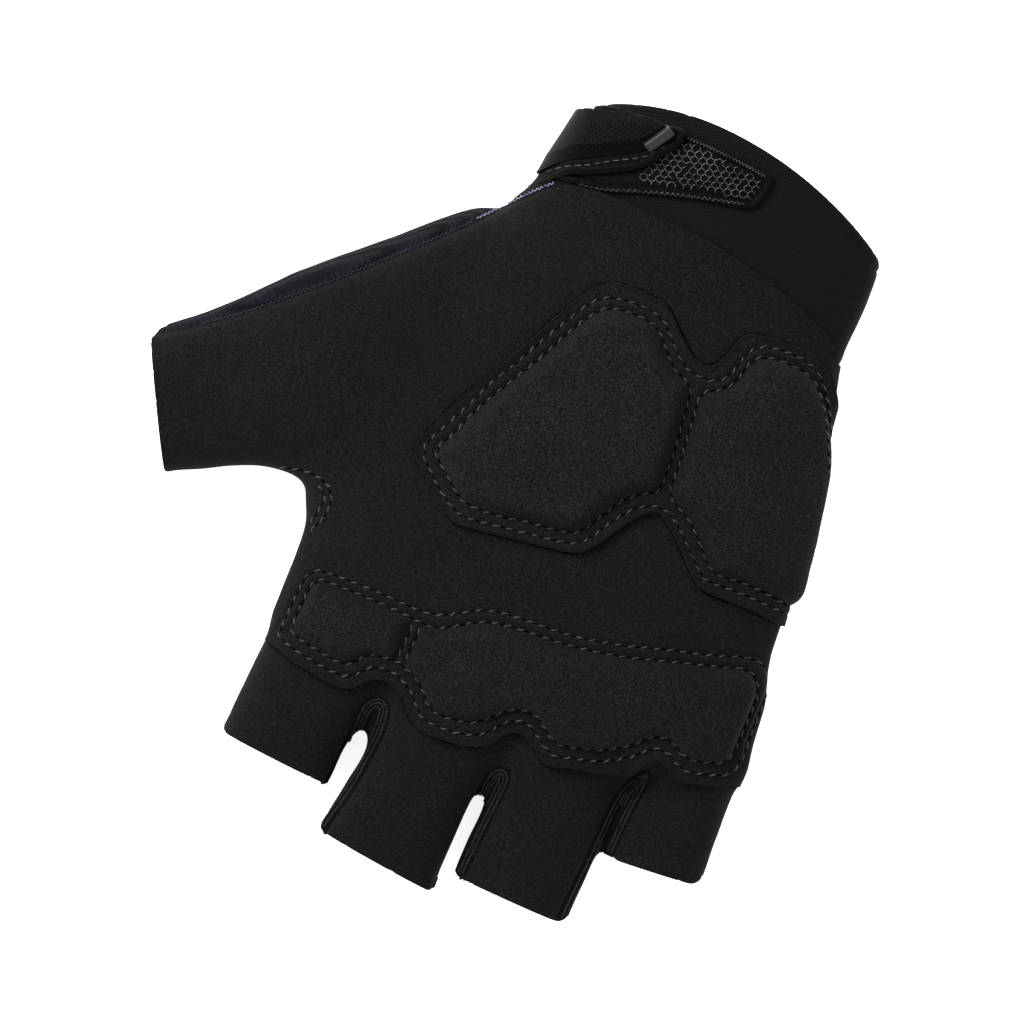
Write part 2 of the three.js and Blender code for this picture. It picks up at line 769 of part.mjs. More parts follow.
const suede = { color: 0x1f1c1b, roughness: 0.92, metalness: 0 };
const backKnit = { color: 0x15161d, roughness: 0.9, metalness: 0 };
const cuffKnit = { color: 0x0c0d12, roughness: 0.88, metalness: 0 };
const ribKnit = { color: 0x0e0f15, roughness: 0.85, metalness: 0 };
const webbing = { color: 0x111114, roughness: 0.8, metalness: 0 };
const hooks = { color: 0x2b2b30, roughness: 0.45, metalness: 0 };
const rubber = { color: 0x0d0d0f, roughness: 0.5, metalness: 0 };
const gloss = { color: 0x6c6c72, roughness: 0.22, metalness: 0 };

const glove = new THREE.Group();

function addPiece(name, solid, finish) {
  const piece = new THREE.Mesh(solidGeometry(solid), new THREE.MeshStandardMaterial(finish));
  piece.name = name;
  glove.add(piece);
}

addPiece('palm_panel', palmPanel(), suede);
addPiece('finger_fronts', fingerFronts(), suede);
addPiece('back_panel', backPanel(), backKnit);
addPiece('cuff', cuff(), cuffKnit);
fourchettes.forEach((fork, i) => addPiece(fork.name, fourchette(forkAreas[i]), ribKnit));
addPiece('heel_pad', heelPad(), suede);
addPiece('hook_patch', hookPatch(), hooks);
addPiece('closure_strap', closureStrap(), webbing);
addPiece('tab_grip', tabGrip(), rubber);
addPiece('tab_tip_bar', tabTipBar(), gloss);

export default glove;
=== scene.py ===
import math
from functools import partial

import bmesh
import bpy
import numpy as np
from mathutils import Matrix, Vector, noise
from mathutils.bvhtree import BVHTree
from mathutils.kdtree import KDTree


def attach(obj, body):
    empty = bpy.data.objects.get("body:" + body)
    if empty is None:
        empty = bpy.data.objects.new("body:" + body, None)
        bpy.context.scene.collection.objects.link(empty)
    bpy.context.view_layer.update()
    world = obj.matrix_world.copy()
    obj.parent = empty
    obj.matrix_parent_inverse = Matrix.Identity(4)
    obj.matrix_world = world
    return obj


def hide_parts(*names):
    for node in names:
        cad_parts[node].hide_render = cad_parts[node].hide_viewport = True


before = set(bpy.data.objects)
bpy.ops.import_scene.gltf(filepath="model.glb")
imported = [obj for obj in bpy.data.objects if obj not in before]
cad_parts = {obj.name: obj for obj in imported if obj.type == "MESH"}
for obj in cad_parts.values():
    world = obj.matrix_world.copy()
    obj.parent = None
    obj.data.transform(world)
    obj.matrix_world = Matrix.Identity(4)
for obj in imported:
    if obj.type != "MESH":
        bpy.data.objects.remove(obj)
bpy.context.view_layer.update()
mm = 0.001
scene = bpy.context.scene

# Small tools


def say(text):
    print("glove:", text)


def smoothPath(points, steps=6, closed=False):
    # smooth line through given points
    p = [np.array(q, float) for q in points]
    count = len(p)
    if closed:
        idx = [(i - 1, i, (i + 1) % count, (i + 2) % count) for i in range(count)]
    else:
        idx = [(max(i - 1, 0), i, i + 1, min(i + 2, count - 1)) for i in range(count - 1)]
    out = []
    for a, b, c, d in idx:
        for k in range(steps):
            t = k / steps
            m1 = (p[c] - p[a]) / 2
            m2 = (p[d] - p[b]) / 2
            h1 = 2 * t**3 - 3 * t**2 + 1
            h2 = t**3 - 2 * t**2 + t
            h3 = 3 * t**2 - 2 * t**3
            h4 = t**3 - t**2
            out.append(h1 * p[b] + h2 * m1 + h3 * p[c] + h4 * m2)
    if not closed:
        out.append(p[-1])
    return np.array(out)


def runAlong(line):
    # the distance walked up to each point of a line
    return np.concatenate([[0], np.cumsum(np.linalg.norm(np.diff(line, axis=0), axis=1))])


def evenPath(path, pitch, closed=False):
    line = np.vstack([path, path[:1]]) if closed else path
    run = runAlong(line)
    count = max(2, int(round(run[-1] / pitch)))
    at = run[-1] * (np.arange(count) + (0 if closed else 0.5)) / count
    return np.stack([np.interp(at, run, line[:, i]) for i in range(line.shape[1])], axis=1)


def lineDistance(xy, path, closed=False):
    # unsigned distance and side of the nearest stretch, positive on the left of the path
    line = np.vstack([path, path[:1]]) if closed else path
    best = np.full(len(xy), 1e9)
    side = np.zeros(len(xy))
    for a, b in zip(line[:-1], line[1:]):
        d = b - a
        t = np.clip(((xy - a) @ d) / max(d @ d, 1e-12), 0, 1)
        off = xy - a - t[:, None] * d
        dist = np.hypot(off[:, 0], off[:, 1])
        cross = d[0] * (xy[:, 1] - a[1]) - d[1] * (xy[:, 0] - a[0])
        near = dist < best - 1e-9
        best = np.where(near, dist, best)
        side = np.where(near, np.sign(cross), side)
    return best, side


def insidePath(xy, path):
    inside = np.zeros(len(xy), bool)
    for a, b in zip(path, np.roll(path, -1, axis=0)):
        crosses = (a[1] > xy[:, 1]) != (b[1] > xy[:, 1])
        slope = (b[0] - a[0]) / (b[1] - a[1] if b[1] != a[1] else 1e-12)
        inside ^= crosses & (xy[:, 0] < a[0] + (xy[:, 1] - a[1]) * slope)
    return inside


def insideField(xy, path):
    dist, _ = lineDistance(xy, path, closed=True)
    return np.where(insidePath(xy, path), dist, -dist)


def sideField(xy, path):
    dist, side = lineDistance(xy, path)
    return dist * side


def ease(value, low, high):
    t = np.clip((value - low) / (high - low), 0, 1)
    return t * t * (3 - 2 * t)


def bell(distance, width):
    return np.exp(-((distance / width) ** 2))


def ridge(distance, height, at, width):
    return height * bell(distance - at, width)


def selectOnly(obj):
    bpy.ops.object.select_all(action="DESELECT")
    obj.select_set(True)
    bpy.context.view_layer.objects.active = obj


def makeObject(name, points, faces):
    mesh = bpy.data.meshes.new(name)
    mesh.from_pydata((np.asarray(points) * mm).tolist(), [], [list(f) for f in faces])
    mesh.update()
    obj = bpy.data.objects.new(name, mesh)
    scene.collection.objects.link(obj)
    return obj


def pull(rows, key, width, kind=float):
    flat = np.empty(len(rows) * width, dtype=kind)
    rows.foreach_get(key, flat)
    return flat.reshape(-1, width)


def readPoints(obj):
    return pull(obj.data.vertices, "co", 3) / mm


def readEdges(obj):
    return pull(obj.data.edges, "vertices", 2, np.int64)


def writePoints(obj, points):
    obj.data.vertices.foreach_set("co", (points * mm).ravel())
    obj.data.update()


def applyModifier(obj, kind, **settings):
    selectOnly(obj)
    modifier = obj.modifiers.new(kind.lower(), kind)
    for key, value in settings.items():
        setattr(modifier, key, value)
    bpy.ops.object.modifier_apply(modifier=modifier.name)


def giveWall(obj, thickness):
    applyModifier(obj, "SOLIDIFY", thickness=thickness * mm, offset=-1, use_rim=True)


def paint(obj, name, values):
    layer = obj.data.attributes.get(name) or obj.data.attributes.new(name, "FLOAT", "POINT")
    layer.data.foreach_set("value", np.asarray(values, dtype=np.float32))


def finishPiece(obj, node, look, angle=40):
    selectOnly(obj)
    bpy.ops.object.shade_smooth_by_angle(angle=math.radians(angle))
    obj.data.materials.clear()
    obj.data.materials.append(looks[look])
    if node:
        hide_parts(node)
    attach(obj, "root")


# Shapes of the hand: left end, right end and height of each rounded cross-section

handShape = {
    "roundness": 2.4,
    "sink": 2.5,
    "sides": 96,
    "hand": [
        (-40.5, -78, 17, -78, 27), (-44, -66, 21.5, -66, 26.7), (-45.6, -57, 24.2, -57, 26.2),
        (-45.9, -48, 27, -48, 25.9), (-46, -40, 31, -40, 25.9), (-48, -33, 36, -33, 26.5),
        (-51.2, -20, 41, -20, 27), (-54.8, -5, 43, -5, 27), (-57.2, 10, 43.5, 10, 27),
        (-58.9, 22, 43.5, 22, 26.7), (-62, 31, 44, 30.5, 26.2), (-63.1, 38, 40.8, 38, 25.7),
        (-63.9, 44, 39.4, 50, 24.8), (-64.1, 50, 38.8, 58, 23), (-61.5, 54, 37.4, 66, 18.4),
    ],
    "index": [
        (6, 52, 37.5, 50, 20.4), (8, 62, 38, 60, 21.1), (11.2, 70.5, 38.4, 68, 19),
        (13.1, 75.5, 38.5, 74, 18), (13.3, 85.3, 38.6, 83.9, 17), (13.9, 92, 38.7, 91, 16.6),
    ],
    "middle": [
        (-22, 52, 16.5, 52, 21.1), (-19.5, 64, 14.5, 62, 21.8), (-16.2, 73, 11.8, 70.5, 19.7),
        (-15.3, 78, 9.8, 75.5, 18.4), (-15.6, 86, 10.6, 84, 17.9), (-16, 95.8, 11.6, 93.8, 17.5),
        (-16, 102, 11.8, 100, 17.3),
    ],
    "ring": [
        (-50, 38, -11, 54, 20.4), (-47, 47, -13.4, 64, 21.2), (-44.6, 56, -16.9, 73, 19),
        (-43.6, 62, -17.4, 78, 17.9), (-43.6, 76, -17.4, 84, 17.1), (-44, 90, -17.7, 90.6, 16.5),
        (-44.2, 97, -18.5, 97, 16.3),
    ],
    "little": [
        (-62, 36, -39, 38, 18.7), (-63.4, 46, -41, 47, 19.4), (-64.2, 56, -42.8, 56, 17.3),
        (-64.6, 60, -42.8, 60, 16.3), (-65.4, 68, -42.9, 69.6, 15.6), (-65.8, 72.2, -43.6, 73, 15.3),
        (-66, 76, -46.4, 75.6, 15),
    ],
    "thumb": [
        (16, 27, 14, -34, 21), (40, 30, 33.2, -38.1, 24.3), (50, 30.2, 48.2, -24.9, 23.8),
        (58, 32.9, 63.6, -9.9, 21.6), (65, 36.8, 75.2, 3.7, 19.4), (71.5, 40.7, 86.6, 14.6, 18),
        (77, 45.6, 91.8, 19.2, 17.4),
    ],
}


def sectionRing(left, right, height, sides):
    angles = 2 * np.pi * (np.arange(sides) + 0.5) / sides
    power = 2 / handShape["roundness"]
    across = np.sign(np.cos(angles)) * np.abs(np.cos(angles)) ** power
    lift = np.sign(np.sin(angles)) * np.abs(np.sin(angles)) ** power
    middle, reach = (left + right) / 2, (right - left) / 2
    waist = height / 2
    z = waist + lift * np.where(lift > 0, waist, waist + handShape["sink"])
    ring = middle + across[:, None] * reach
    return np.column_stack([ring, np.maximum(z, 0)])


def loftTube(rows, sides, steps=5):
    dense = smoothPath(rows, steps)
    points = np.vstack([sectionRing(r[0:2], r[2:4], r[4], sides) for r in dense])
    faces = []
    for i in range(len(dense) - 1):
        a, b = i * sides, (i + 1) * sides
        faces += [(a + k, b + k, b + (k + 1) % sides, a + (k + 1) % sides) for k in range(sides)]
    faces.append(tuple(range(sides)))
    last = (len(dense) - 1) * sides
    faces.append(tuple(last + k for k in reversed(range(sides))))
    return points, faces


def buildForm(voxel):
    allPoints, allFaces, offset = [], [], 0
    for name in ("hand", "index", "middle", "ring", "little", "thumb"):
        points, faces = loftTube(handShape[name], handShape["sides"])
        allPoints.append(points)
        allFaces += [tuple(i + offset for i in f) for f in faces]
        offset += len(points)
    obj = makeObject("handForm", np.vstack(allPoints), allFaces)
    selectOnly(obj)
    bpy.ops.object.mode_set(mode="EDIT")
    bpy.ops.mesh.select_all(action="SELECT")
    bpy.ops.mesh.normals_make_consistent(inside=False)
    bpy.ops.object.mode_set(mode="OBJECT")
    obj.data.remesh_voxel_size = voxel * mm
    bpy.ops.object.voxel_remesh()
    return obj


def relax(points, edges, rounds, weight):
    count = np.bincount(edges.ravel(), minlength=len(points)).astype(float)
    for _ in range(rounds):
        total = np.zeros_like(points)
        for axis in range(3):
            total[:, axis] = np.bincount(edges[:, 0], points[edges[:, 1], axis], len(points))
            total[:, axis] += np.bincount(edges[:, 1], points[edges[:, 0], axis], len(points))
        target = total / count[:, None]
        points = points + (target - points) * weight[:, None]
    return points


formShape = {
    "voxel": 0.75,
    "relaxing": {"all": (8, 0.5), "thenar": (150, 0.6), "knuckles": (30, 0.5)},
    "waves": ((0.4, 17.0, 0.0), (0.14, 6.0, 9.0)),
    "wavesFrom": (0.5, 5),
}
formObject = buildForm(formShape["voxel"])
formPoints = readPoints(formObject)
formEdges = readEdges(formObject)
x, y, z = formPoints.T
thenarPlan = ease(x, 14, 26) * ease(-x, -60, -48) * ease(y, -50, -42) * ease(-y, -36, -28)
blends = {
    "all": np.ones(len(formPoints)),
    "thenar": thenarPlan * ease(z, 12, 17),
    "knuckles": ease(y, 36, 46) * ease(-y, -72, -62) * ease(z, 13, 17),
}
for region, (rounds, weight) in formShape["relaxing"].items():
    formPoints = relax(formPoints, formEdges, rounds, weight * blends[region])
formPoints[:, 2] = np.maximum(formPoints[:, 2], 0)
writePoints(formObject, formPoints)
formNormals = pull(formObject.data.vertex_normals, "vector", 3)


def waveHeight(point):
    # slow and short waves of soft cloth: height, size and shift of each
    return sum(tall * noise.noise(Vector(point / size + shift)) for tall, size, shift in formShape["waves"])


swell = np.array([waveHeight(p) for p in formPoints])
swell = swell * ease(formPoints[:, 2], *formShape["wavesFrom"])
formPoints = formPoints + formNormals * swell[:, None]
formPoints[:, 2] = np.maximum(formPoints[:, 2], 0)
formFaces = [tuple(p.vertices) for p in formObject.data.polygons]
bpy.data.objects.remove(formObject)
say(f"form has {len(formPoints)} points")

# Borders and stitch rows, read in the frame's own plan

border = {
    "cuff": smoothPath([(-75, -36), (-46, -38.5), (-43.5, -41.5), (-40, -43.3), (-30, -46.4), (-20, -48.5),
                        (-10, -49.8), (0, -50), (10, -50), (19, -49), (24.5, -46), (30.5, -40), (50, -33)]),
    "wrap": smoothPath([(22, -49), (28, -42.8), (31, -39.2), (35, -34), (40, -28), (50, -17), (60, -6.5),
                        (70, 3.2), (80, 11.4), (87, 15.8), (100, 22)]),
    "scallop": smoothPath([(-75, 46), (-64.5, 49), (-60, 50.7), (-55, 52.2), (-51.5, 52.9), (-47, 51),
                           (-44.3, 52.3), (-42, 56), (-37, 58.3), (-31, 60.2), (-26, 61.8), (-23, 60.4),
                           (-18.5, 57.8), (-15.2, 59.3), (-12.5, 63.4), (-8, 65.5), (0, 66.2), (3.5, 65.2),
                           (7, 61.8), (11.5, 60), (14.5, 60.8), (17.5, 64.2), (21, 65.2), (30, 64.6),
                           (37, 63.3), (52, 62)]),
    "wristX": -3.0,
    "wristY": -72.2,
    "wristBow": (0.0060, 0.0083),
    "sideSeam": 9.0,
    "backLap": 4.0,
    "lap": 5.0,
}
openings = {
    "index": {"ends": ((13.2, 85.4), (38.9, 84.5)), "between": (12.5, 50), "corners": (0.7, 2.4)},
    "middle": {"ends": ((-16.3, 96.5), (12, 94.4)), "between": (-16.8, 12.5), "corners": (2.0, 1.6)},
    "ring": {"ends": ((-43.9, 90.9), (-16.9, 91.3)), "between": (-44.3, -16.8), "corners": (2.2, 2.8)},
    "little": {"ends": ((-65.6, 71.9), (-43.3, 74.7)), "between": (-80, -44.3), "corners": (2.6, 1.4)},
}
thumbOpening = {"ends": ((87.2, 14.6), (71.7, 40.9)), "corners": (3.4, 0.9)}
forks = {
    "fourchette_index_middle": [(10.7, 63.9), (12.9, 65.2), (13.9, 68), (13.8, 76), (13.7, 100), (10.9, 100),
                                (9.7, 92), (8.3, 84), (7.6, 75), (7.6, 69.5), (8.5, 65.5)],
    "fourchette_middle_ring": [(-18.6, 66.6), (-16.6, 67.6), (-15.5, 71), (-15.9, 78), (-16.3, 103),
                               (-20.5, 103), (-20.2, 91), (-20.3, 78), (-20.4, 71), (-20.1, 68)],
    "fourchette_ring_little": [(-45.5, 54.5), (-43.6, 57), (-41.9, 62), (-41.8, 75), (-42.2, 98),
                               (-47.2, 98), (-46.4, 74), (-46.3, 64), (-46.5, 57)],
}
forkPaths = {name: smoothPath(points, 6, closed=True) for name, points in forks.items()}


def plan(points):
    return points[:, :2]


def wristField(points):
    off = points[:, 0] - border["wristX"]
    return points[:, 1] - border["wristY"] - np.where(off < 0, *border["wristBow"]) * off**2


def cornerDrop(inside, radius):
    # how far a rounded corner falls back at a distance inside the end of an edge
    t = np.clip((radius - inside) / radius, 0, 1)
    return radius * (1 - np.sqrt(np.maximum(1 - t * t, 0)))


def openingField(points, name):
    # positive on the kept side of the opening, far on other fingers
    (x0, y0), (x1, y1) = openings[name]["ends"]
    low, high = openings[name]["between"]
    leftRound, rightRound = openings[name]["corners"]
    edge = y0 + (y1 - y0) * (points[:, 0] - x0) / (x1 - x0)
    edge = edge - cornerDrop(points[:, 0] - x0, leftRound) - cornerDrop(x1 - points[:, 0], rightRound)
    mine = (points[:, 0] > low) & (points[:, 0] < high) & (points[:, 1] > 66)
    return np.where(mine, edge - points[:, 1], 50.0)


def thumbField(points):
    first, second = np.array(thumbOpening["ends"])
    length = np.linalg.norm(second - first)
    run = (plan(points) - first) @ (second - first) / length
    outerRound, innerRound = thumbOpening["corners"]
    value = sideField(plan(points), np.array([first, second]))
    value = value - cornerDrop(run, outerRound) - cornerDrop(length - run, innerRound)
    return np.where(points[:, 0] > 60, value, 50.0)


def cutAlong(points, faces, values):
    # splits every face that the zero line of the values crosses
    points = list(map(tuple, points))
    values = values.copy()
    values[np.abs(values) < 1e-4] = 1e-4
    positive = values > 0
    middle = {}

    def crossing(a, b):
        key = (a, b) if a < b else (b, a)
        if key not in middle:
            t = values[a] / (values[a] - values[b])
            pa, pb = points[a], points[b]
            middle[key] = len(points)
            points.append(tuple(pa[i] + (pb[i] - pa[i]) * t for i in range(3)))
        return middle[key]

    out = []
    for face in faces:
        signs = [positive[i] for i in face]
        if sum(signs[k] != signs[k - 1] for k in range(len(face))) != 2:
            out.append(face)
            continue
        ups, downs = [], []
        for k, i in enumerate(face):
            j = face[(k + 1) % len(face)]
            (ups if positive[i] else downs).append(i)
            if positive[i] != positive[j]:
                cut = crossing(i, j)
                ups.append(cut)
                downs.append(cut)
        out += [tuple(ups), tuple(downs)]
    return np.array(points), out


def centres(points, faces):
    return np.array([points[list(f)].mean(axis=0) for f in faces])


def cutForm(points, faces, fields):
    for field in fields:
        points, faces = cutAlong(points, faces, field(points))
    return points, faces


def takeFaces(points, faces, keep):
    chosen = [f for f, k in zip(faces, keep) if k]
    used = sorted({i for f in chosen for i in f})
    index = {old: new for new, old in enumerate(used)}
    return points[used], [tuple(index[i] for i in f) for f in chosen]


def cleanMesh(obj, distance=0.16):
    # joins the slivers that the cuts leave
    bm = bmesh.new()
    bm.from_mesh(obj.data)
    bmesh.ops.remove_doubles(bm, verts=bm.verts, dist=distance * mm)
    bmesh.ops.dissolve_degenerate(bm, edges=bm.edges, dist=0.02 * mm)
    bm.to_mesh(obj.data)
    bm.free()


normalTree = KDTree(len(formPoints))
for place, point in enumerate(formPoints):
    normalTree.insert(point, place)
normalTree.balance()


def formNormalsAt(points):
    # outward directions of the smooth form near the points
    out = np.zeros((len(points), 3))
    for row, point in enumerate(points):
        for _, place, dist in normalTree.find_n(point, 4):
            out[row] += formNormals[place] / (dist + 0.1)
    return out / np.linalg.norm(out, axis=1)[:, None]


# The form trimmed at the wrist and the openings
trimFields = [wristField, thumbField] + [lambda p, n=n: openingField(p, n) for n in openings]
formPoints, formFaces = cutForm(formPoints, formFaces, trimFields)
middles = centres(formPoints, formFaces)
keep = (wristField(middles) > 0) & (thumbField(middles) > 0)
for name in openings:
    keep &= openingField(middles, name) > 0
formPoints, formFaces = takeFaces(formPoints, formFaces, keep)
formMiddles = centres(formPoints, formFaces)

panelFields = [
    lambda p: sideField(plan(p), border["cuff"]),
    lambda p: sideField(plan(p), border["wrap"]),
    lambda p: p[:, 2] - border["sideSeam"],
    lambda p: p[:, 2] - border["backLap"],
    lambda p: sideField(plan(p), border["scallop"]),
    lambda p: sideField(plan(p) + (0, border["lap"]), border["scallop"]),
] + [lambda p, path=path: insideField(plan(p), path) for path in forkPaths.values()]
panelPoints, panelFaces = cutForm(formPoints, formFaces, panelFields)
middles = centres(panelPoints, panelFaces)
xy = plan(middles)
overCuff = sideField(xy, border["cuff"]) > 0
palmOfThumb = sideField(xy, border["wrap"]) > 0
upper = middles[:, 2] > border["sideSeam"]
inFork = {}
for name, path in forkPaths.items():
    inFork[name] = (insideField(xy, path) > 0) & (middles[:, 2] > border["backLap"])
anyFork = np.any(list(inFork.values()), axis=0)
beyondScallop = sideField(xy, border["scallop"]) > 0
beyondLap = sideField(xy + (0, border["lap"]), border["scallop"]) > 0
onThumb = xy[:, 0] > 41
beyondScallop &= ~onThumb
beyondLap &= ~onThumb
say("form is cut into panels")

# Shading shared by several materials


def makeGroup(name, numbers):
    # takes a place, two colors and some numbers, and gives a color and a height
    group = bpy.data.node_groups.new(name, "ShaderNodeTree")
    sockets = [("Vector", "INPUT", "Vector"), ("Dark", "INPUT", "Color"), ("Pale", "INPUT", "Color")]
    sockets += [(number, "INPUT", "Float") for number in numbers]
    sockets += [("Color", "OUTPUT", "Color"), ("Height", "OUTPUT", "Float")]
    for socketName, way, kind in sockets:
        group.interface.new_socket(socketName, in_out=way, socket_type="NodeSocket" + kind)
    given, result = group.nodes.new("NodeGroupInput"), group.nodes.new("NodeGroupOutput")
    return group, given.outputs, result.inputs, partial(mathNode, group)


def addNode(tree, kind, **settings):
    node = tree.nodes.new(kind)
    for key, value in settings.items():
        setattr(node, key, value)
    return node


def mathNode(tree, operation, first, second=None):
    node = addNode(tree, "ShaderNodeMath", operation=operation)
    for socket, value in zip(node.inputs, (first, second)):
        if value is None:
            continue
        if isinstance(value, (int, float)):
            socket.default_value = value
        else:
            tree.links.new(value, socket)
    return node.outputs[0]


def noiseNode(tree, vector, scale, detail, roughness=0.5):
    node = addNode(tree, "ShaderNodeTexNoise")
    node.inputs["Scale"].default_value = scale
    node.inputs["Detail"].default_value = detail
    node.inputs["Roughness"].default_value = roughness
    tree.links.new(vector, node.inputs["Vector"])
    return node.outputs["Fac"]


def rangeNode(tree, value, low, high, outLow=0.0, outHigh=1.0):
    node = addNode(tree, "ShaderNodeMapRange")
    node.inputs["From Min"].default_value = low
    node.inputs["From Max"].default_value = high
    node.inputs["To Min"].default_value = outLow
    node.inputs["To Max"].default_value = outHigh
    tree.links.new(value, node.inputs["Value"])
    return node.outputs[0]


def mixColor(tree, factor, first, second):
    node = addNode(tree, "ShaderNodeMix", data_type="RGBA")
    for socket, value in zip((node.inputs[0], node.inputs[6], node.inputs[7]), (factor, first, second)):
        if isinstance(value, (int, float, tuple)):
            socket.default_value = value
        else:
            tree.links.new(value, socket)
    return node.outputs[2]


def buildNapGroup():
    # brushed nap: fine pale fibre ends over a dark ground, with slow cloudy patches; the crown input adds
    # painted light and shade, a painted highlight on cushion crowns and painted shade at their rims
    group, given, result, calc = makeGroup("suedeNap", ["Crown"])
    fine = noiseNode(group, given["Vector"], 3600, 2, 0.7)
    coarse = noiseNode(group, given["Vector"], 1800, 2, 0.6)
    cloud = noiseNode(group, given["Vector"], 60, 3, 0.6)
    grain = calc("ADD", calc("MULTIPLY", fine, 0.6), calc("MULTIPLY", coarse, 0.4))
    specks = rangeNode(group, grain, 0.43, 0.63)
    patch = rangeNode(group, cloud, 0.3, 0.7, 0.68, 1.0)
    # painted light and shade: the colour is lifted on cushion crowns and darkened towards their rims
    crownLight = rangeNode(group, given["Crown"], -1.0, 1.0, 0.3, 1.14)
    total = calc("MULTIPLY", calc("MULTIPLY", specks, patch), crownLight)
    group.links.new(mixColor(group, total, given["Dark"], given["Pale"]), result["Color"])
    group.links.new(grain, result["Height"])
    return group


def buildKnitGroup():
    # slanting ribs of a knit: ridges along one direction, broken into small stitches
    group, given, result, calc = makeGroup("knitRibs", ["Rib Pitch", "Stitch Pitch", "Slant"])
    parts = addNode(group, "ShaderNodeSeparateXYZ")
    group.links.new(given["Vector"], parts.inputs[0])
    px, py, pz = parts.outputs
    cos, sin = calc("COSINE", given["Slant"]), calc("SINE", given["Slant"])
    wobble = calc("MULTIPLY", noiseNode(group, given["Vector"], 500, 2), 0.00035)
    across = calc("SUBTRACT", calc("MULTIPLY", px, cos), calc("MULTIPLY", py, sin))
    along = calc("ADD", calc("MULTIPLY", px, sin), calc("MULTIPLY", py, cos))
    across = calc("ADD", calc("ADD", across, pz), wobble)
    ribTurns = calc("DIVIDE", across, given["Rib Pitch"])
    leaning = calc("ADD", along, calc("MULTIPLY", across, 0.6))
    stitchTurns = calc("DIVIDE", leaning, given["Stitch Pitch"])
    rib, stitch = [calc("SINE", calc("MULTIPLY", turns, 2 * math.pi)) for turns in (ribTurns, stitchTurns)]
    height = calc("MULTIPLY", rangeNode(group, rib, -1, 1), rangeNode(group, stitch, -1, 1, 0.45, 1))
    fuzz = rangeNode(group, noiseNode(group, given["Vector"], 1700, 2, 0.7), 0.35, 0.7, 0.5, 1.0)
    color = mixColor(group, calc("MULTIPLY", height, fuzz), given["Dark"], given["Pale"])
    group.links.new(color, result["Color"])
    group.links.new(height, result["Height"])
    return group


napGroup = buildNapGroup()
knitGroup = buildKnitGroup()


def startMaterial(name, roughness, **sockets):
    material = bpy.data.materials.new(name)
    material.use_nodes = True
    shader = material.node_tree.nodes["Principled BSDF"]
    shader.inputs["Roughness"].default_value = roughness
    for key, value in sockets.items():
        shader.inputs[key.replace("_", " ")].default_value = value
    coordinates = addNode(material.node_tree, "ShaderNodeTexCoord")
    return material, material.node_tree, shader, coordinates.outputs["Object"]


def linkBump(tree, shader, height, strength, distance):
    bump = addNode(tree, "ShaderNodeBump")
    bump.inputs["Strength"].default_value = strength
    bump.inputs["Distance"].default_value = distance
    tree.links.new(height, bump.inputs["Height"])
    tree.links.new(bump.outputs["Normal"], shader.inputs["Normal"])


def clothMaterial(name, group, dark, pale, bump, roughness, numbers, **sockets):
    # a look whose color and height come from a node group
    material, tree, shader, vector = startMaterial(name, roughness, **sockets)
    node = addNode(tree, "ShaderNodeGroup", node_tree=group)
    tree.links.new(vector, node.inputs["Vector"])
    for key, value in {"Dark": (*dark, 1), "Pale": (*pale, 1), **numbers}.items():
        node.inputs[key].default_value = value
    tree.links.new(node.outputs["Color"], shader.inputs["Base Color"])
    linkBump(tree, shader, node.outputs["Height"], bump, 0.0003)
    return material, tree, node


def suedeMaterial(name, dark, pale):
    material, tree, node = clothMaterial(name, napGroup, dark, pale, 0.55, 0.95, {}, Sheen_Weight=0.015,
                                         Sheen_Roughness=0.6, Specular_IOR_Level=0.06)
    crown = addNode(tree, "ShaderNodeAttribute", attribute_name="crown")
    tree.links.new(crown.outputs["Fac"], node.inputs["Crown"])
    return material


def knitMaterial(name, dark, pale, ribPitch, stitchPitch, slant, bump):
    numbers = {"Rib Pitch": ribPitch, "Stitch Pitch": stitchPitch, "Slant": slant}
    return clothMaterial(name, knitGroup, dark, pale, bump, 0.9, numbers, Sheen_Weight=0.01,
                         Sheen_Roughness=0.5, Specular_IOR_Level=0.08)[0]


def plainMaterial(name, dark, pale, scale, roughness, bump, specular):
    material, tree, shader, vector = startMaterial(name, roughness, Specular_IOR_Level=specular)
    grain = noiseNode(tree, vector, scale, 3, 0.6)
    color = mixColor(tree, rangeNode(tree, grain, 0.3, 0.7), (*dark, 1), (*pale, 1))
    tree.links.new(color, shader.inputs["Base Color"])
    gloss = rangeNode(tree, grain, 0.3, 0.7, roughness * 0.85, min(roughness * 1.15, 1))
    tree.links.new(gloss, shader.inputs["Roughness"])
    linkBump(tree, shader, grain, bump, 0.0002)
    return material


# Dark and pale color of each suede
suedeLooks = {
    "palmSuede": ((0.0027, 0.0023, 0.0023), (0.0152, 0.0134, 0.0134)),
    "padSuede": ((0.0027, 0.0023, 0.0023), (0.0165, 0.0147, 0.015)),
}
# Dark and pale color, rib pitch, stitch pitch, slant and bump of each knit
knitLooks = {
    "backKnit": ((0.0008, 0.0009, 0.0016), (0.0072, 0.0078, 0.013), 0.0011, 0.0014, 0.7, 0.8),
    "cuffKnit": ((0.0026, 0.0025, 0.0031), (0.0068, 0.0066, 0.008), 0.00062, 0.0011, 0.95, 0.22),
    "ribKnit": ((0.0006, 0.0006, 0.0009), (0.0062, 0.0064, 0.0088), 0.0008, 0.0007, 0.0, 0.6),
    "strapCloth": ((0.001, 0.001, 0.0013), (0.0056, 0.0056, 0.0068), 0.0005, 0.0005, 0.5, 0.5),
}
